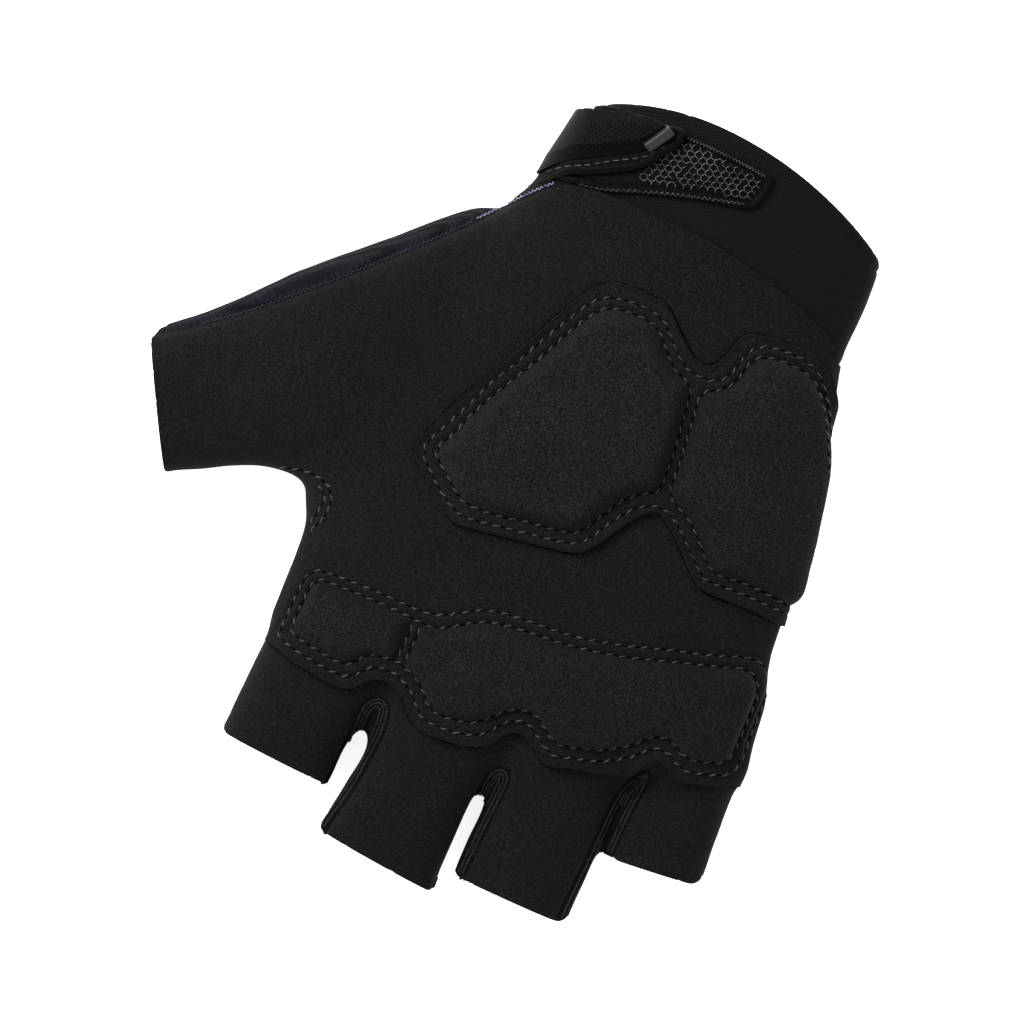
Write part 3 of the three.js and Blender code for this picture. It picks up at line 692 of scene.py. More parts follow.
# Dark and pale color, grain scale, roughness, bump and specular level of everything plain
plainLooks = {
    "stitchThread": ((0.002, 0.002, 0.0023), (0.036, 0.0375, 0.04), 800, 0.55, 0.4, 0.5),
    "glintThread": ((0.003, 0.003, 0.004), (0.06, 0.06, 0.065), 500, 0.4, 0.3, 0.5),
    # seamThread and darkSeamThread are lit and shaded copies of one blue thread: painted sheen and painted
    # shade
    "seamThread": ((0.006, 0.006, 0.012), (0.32, 0.33, 0.55), 700, 0.5, 0.3, 0.5),
    "darkSeamThread": ((0.001, 0.001, 0.002), (0.022, 0.024, 0.046), 900, 0.55, 0.3, 0.2),
    "ropeThread": ((0.0005, 0.0005, 0.0008), (0.0125, 0.013, 0.018), 1300, 0.6, 0.5, 0.15),
    # needleHole is painted shade: dark ovals for the shaded thread in the needle holes
    "needleHole": ((0.0008, 0.0008, 0.0009), (0.002, 0.002, 0.002), 900, 0.95, 0.1, 0.0),
    "hookTape": ((0.0006, 0.0006, 0.0007), (0.0024, 0.0024, 0.0028), 1400, 0.75, 0.6, 0.06),
    "hookFilament": ((0.001, 0.001, 0.0013), (0.072, 0.072, 0.08), 300, 0.42, 0.2, 0.5),
    "dullFilament": ((0.001, 0.001, 0.0012), (0.04, 0.04, 0.043), 520, 0.4, 0.2, 0.5),
    "gripRubber": ((0.0013, 0.0012, 0.0014), (0.0026, 0.0025, 0.0028), 900, 0.6, 0.25, 0.04),
    "tipGloss": ((0.015, 0.015, 0.016), (0.023, 0.023, 0.025), 260, 0.36, 0.15, 0.25),
    # rawEdge: painted shadow line under the suede edges, together with the darker cut edge
    "rawEdge": ((0.0004, 0.0004, 0.0004), (0.0012, 0.0011, 0.0011), 900, 0.95, 0.3, 0.0),
}
looks = {}
for make, table in ((suedeMaterial, suedeLooks), (knitMaterial, knitLooks), (plainMaterial, plainLooks)):
    for name, values in table.items():
        looks[name] = make(name, *values)

# Stitch rows and cushions

knuckleRows = {
    "outer": [
        (-61.2, 30), (-61.6, 38), (-62.1, 44.5), (-60.2, 48.3), (-55, 50.3), (-51.5, 50.9), (-47, 49),
        (-44, 49.7), (-41, 53), (-36, 56.4), (-31, 58.2), (-26, 59.6), (-23, 58.2), (-18.5, 55.8),
        (-14.6, 57.4), (-11.4, 61.5), (-7, 63.6), (0, 64.3), (2.8, 63.2), (6, 60), (11, 58), (15.5, 59),
        (18.3, 62.2), (22, 63.2), (30, 62.6), (34.6, 61.6), (35.8, 60), (35.8, 50), (35.3, 46.6),
        (33.5, 45.6), (30, 45), (20, 44.3), (12, 44.2), (8, 43.5), (5, 42), (2, 40), (-1, 38.3),
        (-5, 37.2), (-12, 36.4), (-20, 35.4), (-30, 32.8), (-35, 31), (-40, 29.3), (-45, 27.8), (-50, 26),
        (-54, 24.4), (-58, 24.4), (-60.5, 26.5),
    ],
    "inner": [
        (-59.4, 31), (-59.8, 38), (-59.8, 44), (-58, 46.6), (-54, 48), (-51, 48.5), (-47, 46.6),
        (-43.4, 47.3), (-39.4, 51.2), (-35, 54.2), (-30.5, 56), (-26, 57.2), (-23.5, 56), (-18.5, 53.4),
        (-13.6, 55.2), (-10, 59.3), (-6, 61.3), (-0.5, 61.9), (1.8, 60.9), (5, 57.8), (9.7, 55.8),
        (11.3, 55.7), (16.8, 56.6), (19.5, 60), (22.5, 60.9), (30, 60.2), (33.2, 59.4), (34, 58),
        (34, 50), (33.5, 47.8), (32, 47), (20, 46.2), (12, 46.2), (8, 46.2), (5, 45), (2, 43), (0, 41.5),
        (-4, 39.8), (-10, 38.8), (-20, 37.5), (-30, 35.2), (-40, 31.8), (-50, 28.4), (-54.5, 26.9),
        (-57.6, 27.6),
    ],
    "dividers": [[(9.7, 55.3), (9.6, 51), (9.7, 46.8)], [(11.4, 55.2), (11.3, 51), (11.4, 46.8)]],
}
heelRows = {
    "outline": [
        (-75, 16.5), (-58, 15.4), (-50, 15), (-42, 15.6), (-38.5, 15.1), (-35, 12.5), (-31, 9), (-27, 6),
        (-24.5, 5), (-22.3, 6.3), (-20, 9), (-17.5, 13.5), (-15, 17.6), (-12.5, 19.6), (-8, 20.8),
        (0, 22.3), (10, 24.3), (13, 24.4), (18, 21.2), (22, 18.3), (25.2, 15.6), (25.8, 12.4), (22.5, 2),
        (17, -9), (14, -15.5), (11, -23), (8, -29.2), (6, -32), (3, -33.8), (-2, -34.4), (-8, -33.9),
        (-11.5, -31.4), (-15, -28.5), (-18, -26.6), (-20.8, -26.2), (-22.8, -27.8), (-24, -31),
        (-25.2, -35), (-28.5, -36.5), (-35, -37.5), (-40, -37.5), (-44, -35.7), (-48, -31), (-52, -25),
        (-56, -19), (-75, -15),
    ],
    "outer": [
        (-62, 12.6), (-57.5, 12.8), (-50, 12.9), (-45, 13.1), (-40, 13.6), (-37, 12.2), (-34, 9.6),
        (-30, 6.3), (-27, 4.5), (-24.5, 4), (-22, 4.8), (-19, 7.4), (-16.3, 11.5), (-14.3, 15.4),
        (-12, 17.9), (-8, 19.2), (0, 20.7), (6, 21.9), (10, 22.6), (13.5, 22.3), (18, 19.8), (22, 16.6),
        (24.1, 14.8), (24.6, 12.4), (22.4, 7), (20, 1.5), (18, -4), (15, -10), (13, -14.5), (10, -20.8),
        (7, -26.6), (4.4, -30), (0, -31.5), (-5, -31.9), (-9, -31), (-12, -28.4), (-15, -25.7),
        (-17.4, -24.2), (-20, -23.8), (-23, -24), (-25, -25.3), (-26.2, -27.4), (-26.9, -30.5),
        (-28.3, -33.8), (-31, -35.4), (-36, -36.2), (-40, -35.9), (-43.3, -34.3), (-46.5, -30.8),
        (-50, -25.5), (-54, -18),
    ],
    "thenar": [
        (-22.6, 1.2), (-20, 3), (-17, 5.8), (-14.8, 9.6), (-13, 13.2), (-11, 15.8), (-8, 17), (0, 18.4),
        (5, 19.6), (10, 20.1), (13.5, 19.6), (18.5, 16), (21.6, 13.8), (22.2, 12), (20.5, 8.6), (19, 4),
        (16.5, -2), (14, -7), (11, -13), (8, -20), (5.5, -25), (3, -28.2), (-1, -29.5), (-7, -29.6),
        (-10, -27.8), (-13, -24.8), (-16.4, -22.3), (-19.6, -21.2), (-21, -15), (-21.8, -10), (-22.5, -5),
    ],
    "little": [
        (-62, 11.2), (-57.5, 11.2), (-50, 10.7), (-45, 11), (-41, 11.5), (-38, 10.2), (-35, 7.2),
        (-31, 3.9), (-27, 2), (-25, 0.6), (-24.4, -5), (-23.7, -10), (-23, -15), (-22.2, -20.6),
        (-24, -22), (-26.4, -24), (-27.8, -26.5), (-28.5, -30), (-29.8, -32.4), (-33, -33.7), (-37, -34),
        (-41, -33.7), (-43.8, -31.9), (-47, -28.2), (-50, -23.5), (-54, -16),
    ],
}
cushionShape = {
    "heelRise": 3.1,
    "knuckleRise": 2.6,
    "shoulder": 3.8,
    "dome": 0.7,
    "laneDepth": 0.42,
    "laneWidth": 0.55,
    "overlayLift": 1.35,
    "overlaySide": 0.25,
    "lapLift": 1.45,
    "edgeCurl": 0.2,
    "rimWidth": 0.3,
    "rimShade": 1.2,
    "indexShare": 0.8,
    "littleShare": 0.85,
    "cuffRise": (0.25, 0, 1.5),
}
knuckleOuter = smoothPath(knuckleRows["outer"], 4, closed=True)
knuckleInner = smoothPath(knuckleRows["inner"], 4, closed=True)
knuckleDividers = [smoothPath(row, 3) for row in knuckleRows["dividers"]]
bigKnuckle = knuckleInner[knuckleInner[:, 0] < 9.75]
indexKnuckle = knuckleInner[knuckleInner[:, 0] > 11.2]
heelOutline = smoothPath(heelRows["outline"], 4, closed=True)
heelOuter = smoothPath(heelRows["outer"], 4)
thenarRow = smoothPath(heelRows["thenar"], 4, closed=True)
littleRow = smoothPath(heelRows["little"], 4)


def cushionLift(xy, path, rise):
    depth = insideField(xy, path)
    t = np.clip((depth - 0.3) / cushionShape["shoulder"], 0, 1)
    crown = 1 - (1 - t) ** 2.4
    dome = cushionShape["dome"] * ease(depth, 2, 14)
    return crown * rise + dome, crown


def laneDip(xy, paths):
    dip = np.zeros(len(xy))
    for path, closed in paths:
        dist, _ = lineDistance(xy, path, closed)
        dip = np.maximum(dip, bell(dist, cushionShape["laneWidth"]))
    return dip * cushionShape["laneDepth"]


def borderRoll(points, depth=0.5, width=0.9):
    # the edges of a panel turn in at its seams
    xy = plan(points)
    roll = bell(np.abs(points[:, 2] - border["sideSeam"]), width)
    wrap, _ = lineDistance(xy, border["wrap"])
    roll = np.maximum(roll, bell(wrap, width) * (points[:, 2] > border["sideSeam"] - 1))
    for path in forkPaths.values():
        dist, _ = lineDistance(xy, path, closed=True)
        roll = np.maximum(roll, bell(dist, width) * (points[:, 2] > border["backLap"]))
    return roll * depth


def refine(obj, inRegion):
    # halves the mesh size where the test holds
    bm = bmesh.new()
    bm.from_mesh(obj.data)
    bm.verts.ensure_lookup_table()
    points = np.array([v.co for v in bm.verts]) / mm
    chosen = inRegion(points)
    edges = [e for e in bm.edges if chosen[e.verts[0].index] and chosen[e.verts[1].index]]
    bmesh.ops.subdivide_edges(bm, edges=edges, cuts=1, use_grid_fill=True)
    bm.to_mesh(obj.data)
    bm.free()
    points = readPoints(obj)
    writePoints(obj, relax(points, readEdges(obj), 3, 0.5 * insideBorder(obj) * inRegion(points)))


def insideBorder(obj):
    # 1 on points that no open edge touches
    edges = readEdges(obj)
    uses = np.bincount(pull(obj.data.loops, "edge_index", 1, np.int64).ravel(), minlength=len(edges))
    free = np.ones(len(obj.data.vertices))
    free[edges[uses == 1].ravel()] = 0
    return free


def panelObject(name, mask):
    points, faces = takeFaces(panelPoints, panelFaces, mask)
    obj = makeObject(name, points, faces)
    cleanMesh(obj)
    return obj


def anywhere(points):
    return np.ones(len(points), bool)


def overlayObject(name, outline, lowest, refinements):
    # the part of the form's skin inside an outline and above a height
    def depthIn(points):
        return insideField(plan(points), outline)

    near = (depthIn(formMiddles) > -2.5) & (formMiddles[:, 2] > lowest - 2)
    points, faces = takeFaces(formPoints, formFaces, near)
    points, faces = cutForm(points, faces, [depthIn, lambda p: p[:, 2] - lowest])
    spots = centres(points, faces)
    obj = makeObject(name, *takeFaces(points, faces, (depthIn(spots) > 0) & (spots[:, 2] > lowest)))
    cleanMesh(obj)
    for _ in range(refinements):
        refine(obj, anywhere)
    return obj


def lift(obj, amount):
    points = readPoints(obj)
    writePoints(obj, points + formNormalsAt(points) * amount[:, None])


sheetWall = {"suede": 1.1, "back": 1.2, "cuff": 2.0, "fourchette": 1.0}
meshShare = {"palm": 0.8, "back": 0.65}  # what is kept of the two largest meshes


def surfaceOf(obj):
    mesh = obj.data
    return BVHTree.FromPolygons([v.co[:] for v in mesh.vertices], [p.vertices[:] for p in mesh.polygons])


def dressSheet(obj, thickness, node, look, share=1):
    # gives a sheet its wall and look; threads are laid on the outer surface that comes back
    surface = surfaceOf(obj)
    giveWall(obj, thickness)
    if share < 1:
        applyModifier(obj, "DECIMATE", ratio=share)
    finishPiece(obj, node, look)
    return surface


# Palm: suede panel over two knuckle cushions, its scalloped edge lying on the finger fronts


def onKnuckles(points):
    inPlan = (points[:, 1] > 21) & (points[:, 0] < 38.6)
    return inPlan & (points[:, 2] > 9.6) & (sideField(plan(points), border["scallop"]) < 0.5)


palm = panelObject("palmSuedePanel", upper & overCuff & palmOfThumb & ~anyFork & ~beyondScallop)
refine(palm, onKnuckles)
palmPoints = readPoints(palm)
palmXy = plan(palmPoints)
fromScallop = -sideField(palmXy, border["scallop"])
overSide = ease(palmPoints[:, 2], 11, 17)
lapLift = cushionShape["lapLift"] * (1 - ease(fromScallop, 3, 9)) * (palmXy[:, 0] < 42) * overSide
bigLift, bigCrown = cushionLift(palmXy, bigKnuckle, cushionShape["knuckleRise"])
smallRise = cushionShape["knuckleRise"] * cushionShape["indexShare"]
smallLift, smallCrown = cushionLift(palmXy, indexKnuckle, smallRise)
palmLanes = [(knuckleOuter, True), (knuckleInner, True)] + [(row, False) for row in knuckleDividers]
cuffGap, _ = lineDistance(palmXy, border["cuff"])
palmLift = lapLift + (bigLift + smallLift - laneDip(palmXy, palmLanes)) * overSide
palmLift += ridge(cuffGap, *cushionShape["cuffRise"]) * overSide
scallopRim = bell(np.maximum(fromScallop, 0), cushionShape["rimWidth"]) * (palmXy[:, 0] < 39) * overSide
lift(palm, palmLift + cushionShape["edgeCurl"] * scallopRim - borderRoll(palmPoints))
# the crown attribute is painted light: a painted highlight on the knuckle cushions and painted shade along
# the scallop rim, which also stands for its darker cut edge
paint(palm, "crown", np.maximum(bigCrown, smallCrown) - cushionShape["rimShade"] * scallopRim)
palmSurface = dressSheet(palm, sheetWall["suede"], "palm_panel", "palmSuede", meshShare["palm"])

fingerSuede = panelObject("fingerSuedeFronts", upper & overCuff & ~anyFork & beyondLap)
fingerPoints = readPoints(fingerSuede)
lift(fingerSuede, -borderRoll(fingerPoints))
paint(fingerSuede, "crown", np.zeros(len(fingerPoints)))
fingerSurface = dressSheet(fingerSuede, sheetWall["suede"], "finger_fronts", "palmSuede")
say("palm and finger fronts")

# Heel overlay: one suede piece stitched down round two cushions

heelPad = overlayObject("heelSuedePad", heelOutline, border["sideSeam"] + 0.6, 1)
heelPoints = readPoints(heelPad)
heelXy = plan(heelPoints)
thenarLift, thenarCrown = cushionLift(heelXy, thenarRow, cushionShape["heelRise"])
littleRise = cushionShape["heelRise"] * cushionShape["littleShare"]
littleLift, littleCrown = cushionLift(heelXy, littleRow, littleRise)
overEdge = ease(heelPoints[:, 2], 11, 19)
heelRim = bell(insideField(heelXy, heelOutline), cushionShape["rimWidth"])
atSide = cushionShape["overlaySide"]
heelLift = (thenarLift + littleLift) * overEdge
heelLift = heelLift + cushionShape["overlayLift"] * (atSide + (1 - atSide) * overEdge)
heelLift += cushionShape["edgeCurl"] * heelRim * overEdge
heelLift -= laneDip(heelXy, [(heelOuter, False), (thenarRow, True), (littleRow, False)]) * overEdge
lift(heelPad, heelLift)
# painted light: a painted highlight on the cushion crowns and painted shade along the pad's rim
heelShade = np.maximum(thenarCrown, littleCrown) * overEdge - cushionShape["rimShade"] * heelRim
paint(heelPad, "crown", heelShade)
heelSurface = dressSheet(heelPad, sheetWall["suede"], "heel_pad", "padSuede")
say("heel pad")

# Back, cuff and fourchettes

back = panelObject("backKnitPanel", (~upper | ~palmOfThumb) & overCuff & ~anyFork)
lift(back, -borderRoll(readPoints(back)))
dressSheet(back, sheetWall["back"], "back_panel", "backKnit", meshShare["back"])

# Height, place and width of each turned-in line of the cuff
cuffShape = {"hemLine": (0.3, 1.9, 0.35), "wristEdge": (0.45, 0, 0.6), "seam": (0.45, 0, 1.0)}
cuffPiece = panelObject("cuffKnitBand", ~overCuff)
cuffPoints = readPoints(cuffPiece)
fromWrist = wristField(cuffPoints)
toSeam, _ = lineDistance(plan(cuffPoints), border["cuff"])
hem = ridge(fromWrist, *cuffShape["hemLine"]) + ridge(fromWrist, *cuffShape["wristEdge"])
lift(cuffPiece, -hem - ridge(toSeam, *cuffShape["seam"]))
cuffSurface = dressSheet(cuffPiece, sheetWall["cuff"], "cuff", "cuffKnit")

forkRib = {"pitch": 0.85, "lean": (0.8, 0.9), "height": 0.13, "sink": 0.4}
forkSurfaces = {}
leanX, leanZ = forkRib["lean"]
for name, mask in inFork.items():
    strip = panelObject("knit_" + name, mask)
    for _ in range(2):
        refine(strip, anywhere)
    stripX, stripY, stripZ = readPoints(strip).T
    ribPhase = (stripY + leanX * stripX - leanZ * stripZ) / forkRib["pitch"]
    lift(strip, forkRib["height"] * np.cos(2 * np.pi * ribPhase) - forkRib["sink"])
    forkSurfaces[name] = dressSheet(strip, sheetWall["fourchette"], name, "ribKnit")
say("back, cuff and fourchettes")

# Closure: hook tape on the cuff, strap tab over it, rubber grip and glossy tip bar

hookTapeShape = {
    "outline": [(31, -49), (14.2, -50), (4.4, -53.5), (-5.5, -56.7), (-14.7, -59.1), (-16.6, -61.2),
                (-17.3, -64.5), (-17.2, -66.8), (-15.3, -67.8), (-7.2, -68.1), (0.9, -68.3), (14, -67.6),
                (22, -66), (31, -62)],
    "lift": 1.15,
    "wall": 0.9,
    "bead": (0.3, 0.75, 0.5),
    "groove": (0.35, 1.7, 0.3),
    "edge": (0.35, 0, 0.3),
    "netInset": 2.0,
    "cellAcross": 1.15,
    "cellAlong": 1.65,
    "netAxis": (-0.949, -0.316),
    "netSide": (0.316, -0.949),
    "netStart": (18.0, -49.5),
    "netEnd": 8,
    "jitter": 0.05,
    "missing": 0.03,
    "rise": (0.12, 0.3),
    "filament": 0.1,
}
strapShape = {
    "outline": [(40, -37.5), (31, -42.6), (28, -45.2), (21.8, -49.3), (15.7, -52.6), (11.2, -55.2),
                (8.3, -57.4), (6.6, -59.4), (4.6, -62.5), (3, -65.4), (2.6, -67.4), (3.2, -68.3),
                (5, -68.4), (7.5, -67.7), (11.2, -66.9), (16.3, -65.2), (21.1, -63), (24.5, -61),
                (28, -59), (40, -52)],
    "lift": 3.1,
    "wall": 1.9,
    "edge": 0.75,
    "bead": 1.45,
    "beadRise": 0.24,
    "dashRow": [(26.3, -49), (22.9, -51.5), (19.2, -53.4), (14.8, -56.2), (10.3, -58.9), (7.9, -61),
                (5.8, -63.8)],
    "dashPitch": 2.0,
    "dashLength": 1.3,
    "dashRise": 0.08,
    "dashRadius": 0.115,
}
gripShape = {
    "palmSide": [(33, -43.5), (28, -47.2), (23.8, -50.6), (18.6, -54.3), (13.4, -57.8), (8.6, -61.2),
                 (6.2, -64.4), (4.9, -66.9)],
    "wristSide": [(4.9, -66.9), (7.6, -67.6), (11.2, -67.2), (16.3, -65.5), (21.1, -63.3), (24.5, -61.3),
                  (33, -55.4)],
    "rise": 1.6,
    "wall": 1.0,
    "palmBevel": 2.1,
    "wristBevel": 0.25,
    "dotFrom": 7.4,
    "dotTo": 22.4,
    "dotPitch": (0.94, 0.8),
    "dotSize": (0.4, 0.32, 0.2),
}
tipBarShape = {"middle": (7.75, -64.4), "size": (2.5, 6.3, 1.7), "turn": -26.5, "bevel": 0.3, "sink": 0.7}


def drape(xy, surfaces, start=60.0):
    # the highest point of the surfaces under each plan point; rows that miss come back as not a number
    points = np.full((len(xy), 3), np.nan)
    normals = np.zeros((len(xy), 3))
    for row, (px, py) in enumerate(xy):
        for surface in surfaces:
            hit, normal, _, _ = surface.ray_cast(Vector((px, py, start)) * mm, Vector((0, 0, -1)))
            if hit is not None and not hit.z / mm <= points[row, 2]:
                points[row] = np.array(hit) / mm
                normals[row] = normal
    return points, normals


def laidLine(flat, surfaces, rise):
    # one line laid on the surfaces, or none where it leaves them
    points, normals = drape(flat, surfaces)
    if np.isnan(points).any():
        return []
    return [(points + normals * np.reshape(rise, (-1, 1)), normals)]


def sewnRise(points, full):
    # the closure thins out where it is sewn into the thumb side
    return full * (1 - 0.72 * ease(points[:, 0], 19, 28)) * ease(points[:, 2], 4, 12)


hookOutline = smoothPath(hookTapeShape["outline"], 4, closed=True)
hookTapePiece = overlayObject("hookTape", hookOutline, 12, 1)
hookPoints = readPoints(hookTapePiece)
hookXy = plan(hookPoints)
hookDepth = insideField(hookXy, hookOutline)
rimRise = ridge(hookDepth, *hookTapeShape["bead"]) - ridge(hookDepth, *hookTapeShape["groove"])
hookRise = sewnRise(hookPoints, hookTapeShape["lift"]) + rimRise
lift(hookTapePiece, hookRise - ridge(hookDepth, *hookTapeShape["edge"]))
hookSurface = dressSheet(hookTapePiece, hookTapeShape["wall"], "hook_patch", "hookTape")

strapOutline = smoothPath(strapShape["outline"], 4, closed=True)
strapPiece = overlayObject("wristStrap", strapOutline, border["backLap"], 2)
strapPoints = readPoints(strapPiece)
strapXy = plan(strapPoints)
strapDepth = insideField(strapXy, strapOutline)
rounding = strapShape["edge"] * (1 - np.sqrt(np.clip(strapDepth / strapShape["edge"], 0, 1)))
beads = strapShape["beadRise"] * np.cos(2 * np.pi * (strapDepth - 0.75) / strapShape["bead"])
beads = beads * (1 - ease(strapDepth, 2.6, 3.1)) * (1 - ease(strapXy[:, 0], 21, 25))
flatEnd = 1 - 0.9 * ease(strapXy[:, 0], 20, 27) * (1 - ease(strapDepth, 0.3, 4))
lift(strapPiece, sewnRise(strapPoints, strapShape["lift"] - rounding) * flatEnd + beads)
strapSurface = dressSheet(strapPiece, strapShape["wall"], "closure_strap", "strapCloth")

gripPalm = smoothPath(gripShape["palmSide"], 4)
gripWrist = smoothPath(gripShape["wristSide"], 4)
gripOutline = np.vstack([gripPalm[:-1], gripWrist])
gripPiece = overlayObject("gripRubber", gripOutline, border["backLap"] + 1, 2)
gripPoints = readPoints(gripPiece)
gripXy = plan(gripPoints)
fromPalm, _ = lineDistance(gripXy, gripPalm)
fromWristSide, _ = lineDistance(gripXy, gripWrist)
slope = np.minimum(fromPalm / gripShape["palmBevel"], 0.3 + fromWristSide / gripShape["wristBevel"])
gripRise = strapShape["lift"] + 0.15 + gripShape["rise"] * np.clip(slope, 0, 1)
lift(gripPiece, sewnRise(gripPoints, gripRise) + 0.1)
gripSurface = dressSheet(gripPiece, gripShape["wall"], "tab_grip", "gripRubber")


def bandFaces(first, second, sides):
    # the faces between two rings of points
    return [(first + k, first + (k + 1) % sides, second + (k + 1) % sides, second + k) for k in range(sides)]


def domes(name, spots, normals, size, turn, sides=8):
    # small oval bumps, one dome copied to every spot
    rx, ry, height = size
    angles = 2 * np.pi * np.arange(sides) / sides
    rings = [(1.0, -0.25), (0.86, 0.45), (0.5, 0.86)]
    shape = [(rx * r * math.cos(a), ry * r * math.sin(a), height * h) for r, h in rings for a in angles]
    shape.append((0, 0, height))
    shape = np.array(shape)
    cos, sin = math.cos(turn), math.sin(turn)
    shape[:, :2] = shape[:, :2] @ np.array([[cos, sin], [-sin, cos]])
    pattern = []
    for r in range(len(rings) - 1):
        pattern += bandFaces(r * sides, (r + 1) * sides, sides)
    top = len(rings) * sides
    pattern += [(top - sides + k, top - sides + (k + 1) % sides, top) for k in range(sides)]
    points, faces = [], []
    for spot, normal in zip(spots, normals):
        frameTurn = Vector((0, 0, 1)).rotation_difference(Vector(normal)).to_matrix()
        base = len(points) * len(shape)
        points.append(shape @ np.array(frameTurn).T + spot)
        faces += [tuple(base + i for i in face) for face in pattern]
    return makeObject(name, np.vstack(points), faces)


pitchX, pitchY = gripShape["dotPitch"]
grid = np.array([(gripShape["dotFrom"] + pitchX * (i + 0.5 * (j % 2)), -69 + pitchY * j)
                 for j in range(30) for i in range(17)])
dotDepth, _ = lineDistance(grid, gripPalm)
dotEdge, _ = lineDistance(grid, gripWrist)
barMiddle = np.array(tipBarShape["middle"])
barTurn = math.radians(tipBarShape["turn"])
barSide = np.array([math.cos(barTurn), math.sin(barTurn)])
clearOfBar = (grid - barMiddle) @ barSide > tipBarShape["size"][0] / 2 + 0.7
dotKeep = insidePath(grid, gripOutline) & (dotDepth > gripShape["palmBevel"] + 0.3) & (dotEdge > 0.9)
grid = grid[dotKeep & clearOfBar & (grid[:, 0] < gripShape["dotTo"])]
dotSpots, dotNormals = drape(grid, [gripSurface])
gripDots = domes("gripDots", dotSpots, dotNormals, gripShape["dotSize"], 0.5)
finishPiece(gripDots, None, "gripRubber")


def makeTipBar():
    width, length, height = tipBarShape["size"]
    spot, normal = drape([barMiddle], [gripSurface, strapSurface])
    bpy.ops.object.select_all(action="DESELECT")
    bpy.ops.mesh.primitive_cube_add(size=1, location=(0, 0, 0))
    bar = bpy.context.object
    bar.name = "tipBar"
    bpy.ops.object.mode_set(mode="EDIT")
    bpy.ops.mesh.select_all(action="SELECT")
    bpy.ops.transform.resize(value=(width * mm, length * mm, height * mm))
    bpy.ops.mesh.subdivide(number_cuts=2)
    bpy.ops.object.mode_set(mode="OBJECT")
    for vertex in bar.data.vertices:
        crownLight = vertex.co.z / (height * mm) + 0.5
        vertex.co.x *= 1 - 0.16 * crownLight
        vertex.co.x += 0.045 * vertex.co.y * crownLight
    applyModifier(bar, "BEVEL", width=tipBarShape["bevel"] * mm, segments=3, limit_method="ANGLE",
                  angle_limit=math.radians(40))
    upright = Vector((0, 0, 1)).rotation_difference(Vector(normal[0])).to_matrix().to_4x4()
    place = Matrix.Translation(Vector(spot[0] + normal[0] * (height / 2 - tipBarShape["sink"])) * mm)
    bar.data.transform(place @ upright @ Matrix.Rotation(barTurn, 4, "Z"))
    finishPiece(bar, "tab_tip_bar", "tipGloss", 30)


makeTipBar()
say("closure")

# Threads: twisted tubes laid along lines


def ropeRings(line, normals, radius, plies, lay, sides):
    # rings of one twisted cord; radius may change along it
    tangent = np.gradient(line, axis=0)
    tangent /= np.maximum(np.linalg.norm(tangent, axis=1), 1e-9)[:, None]
    across = np.cross(tangent, normals)
    across /= np.maximum(np.linalg.norm(across, axis=1), 1e-9)[:, None]
    upward = np.cross(across, tangent)
    run = runAlong(line)
    angles = 2 * np.pi * np.arange(sides) / sides
    swing = 1 + 0.24 * np.cos(plies * (angles[None, :] - 2 * np.pi * run[:, None] / lay)) if plies > 1 else 1
    reach = np.broadcast_to(np.asarray(radius, float), (len(line),))[:, None] * swing
    reach = np.broadcast_to(reach, (len(line), sides))
    cos, sin = np.cos(angles)[None, :, None], np.sin(angles)[None, :, None]
    spokes = cos * across[:, None, :] + sin * upward[:, None, :]
    return (line[:, None, :] + reach[:, :, None] * spokes).reshape(-1, 3)


def ropesObject(name, ropes, radius, plies=2, lay=1.0, sides=8, taper=0):
    points, faces, base = [], [], 0
    for line, normals in ropes:
        count = len(line)
        if count < 2:
            continue
        size = np.full(count, float(radius))
        if taper:
            ends = np.minimum(np.arange(count), np.arange(count)[::-1])
            size *= np.where(ends == 0, taper, 1)
        points.append(ropeRings(line, normals, size, plies, lay, sides))
        for i in range(count - 1):
            faces += bandFaces(base + i * sides, base + (i + 1) * sides, sides)
        faces.append(tuple(base + k for k in reversed(range(sides))))
        faces.append(tuple(base + (count - 1) * sides + k for k in range(sides)))
        base += count * sides
    return makeObject(name, np.vstack(points), faces)


def threadPiece(name, ropes, radius, slotName, look, **twist):
    finishPiece(ropesObject(name, ropes, radius, **twist), None, look, 60)


stitchShape = {
    "pitch": 2.7,
    "length": 1.25,
    "slant": 19,
    "radius": 0.165,
    "arch": 0.13,
    "hole": (0.55, 0.2),
    "holeSides": 10,
    "holeRise": (0.02, 0.1),
    "uneven": (5, 0.1),
}
seamRows = [(heelOuter, False), (thenarRow, True), (littleRow, False)]
seamRows += [(knuckleOuter, True), (knuckleInner, True)]
seamRows += [(row, False) for row in knuckleDividers]
thumbRows = [
    [(39.2, 39.5), (37.7, 36), (37.3, 33), (37.8, 30.5), (40, 28.5), (44, 28), (48, 28.8), (51, 29.8)],
    [(39.8, 38), (39, 34), (38.8, 31.7), (40, 30.3), (42, 29.3)],
]
seamRows += [(smoothPath(row, 4), False) for row in thumbRows]
padSurfaces = [heelSurface, palmSurface]
dice = np.random.default_rng(11)


def directionsOf(path, closed):
    ahead = np.roll(path, -1, axis=0) - np.roll(path, 1, axis=0)
    if not closed:
        ahead[0], ahead[-1] = path[1] - path[0], path[-1] - path[-2]
    return ahead / np.linalg.norm(ahead, axis=1)[:, None]


def leftOf(path, closed):
    heading = directionsOf(path, closed)
    return np.column_stack([-heading[:, 1], heading[:, 0]])


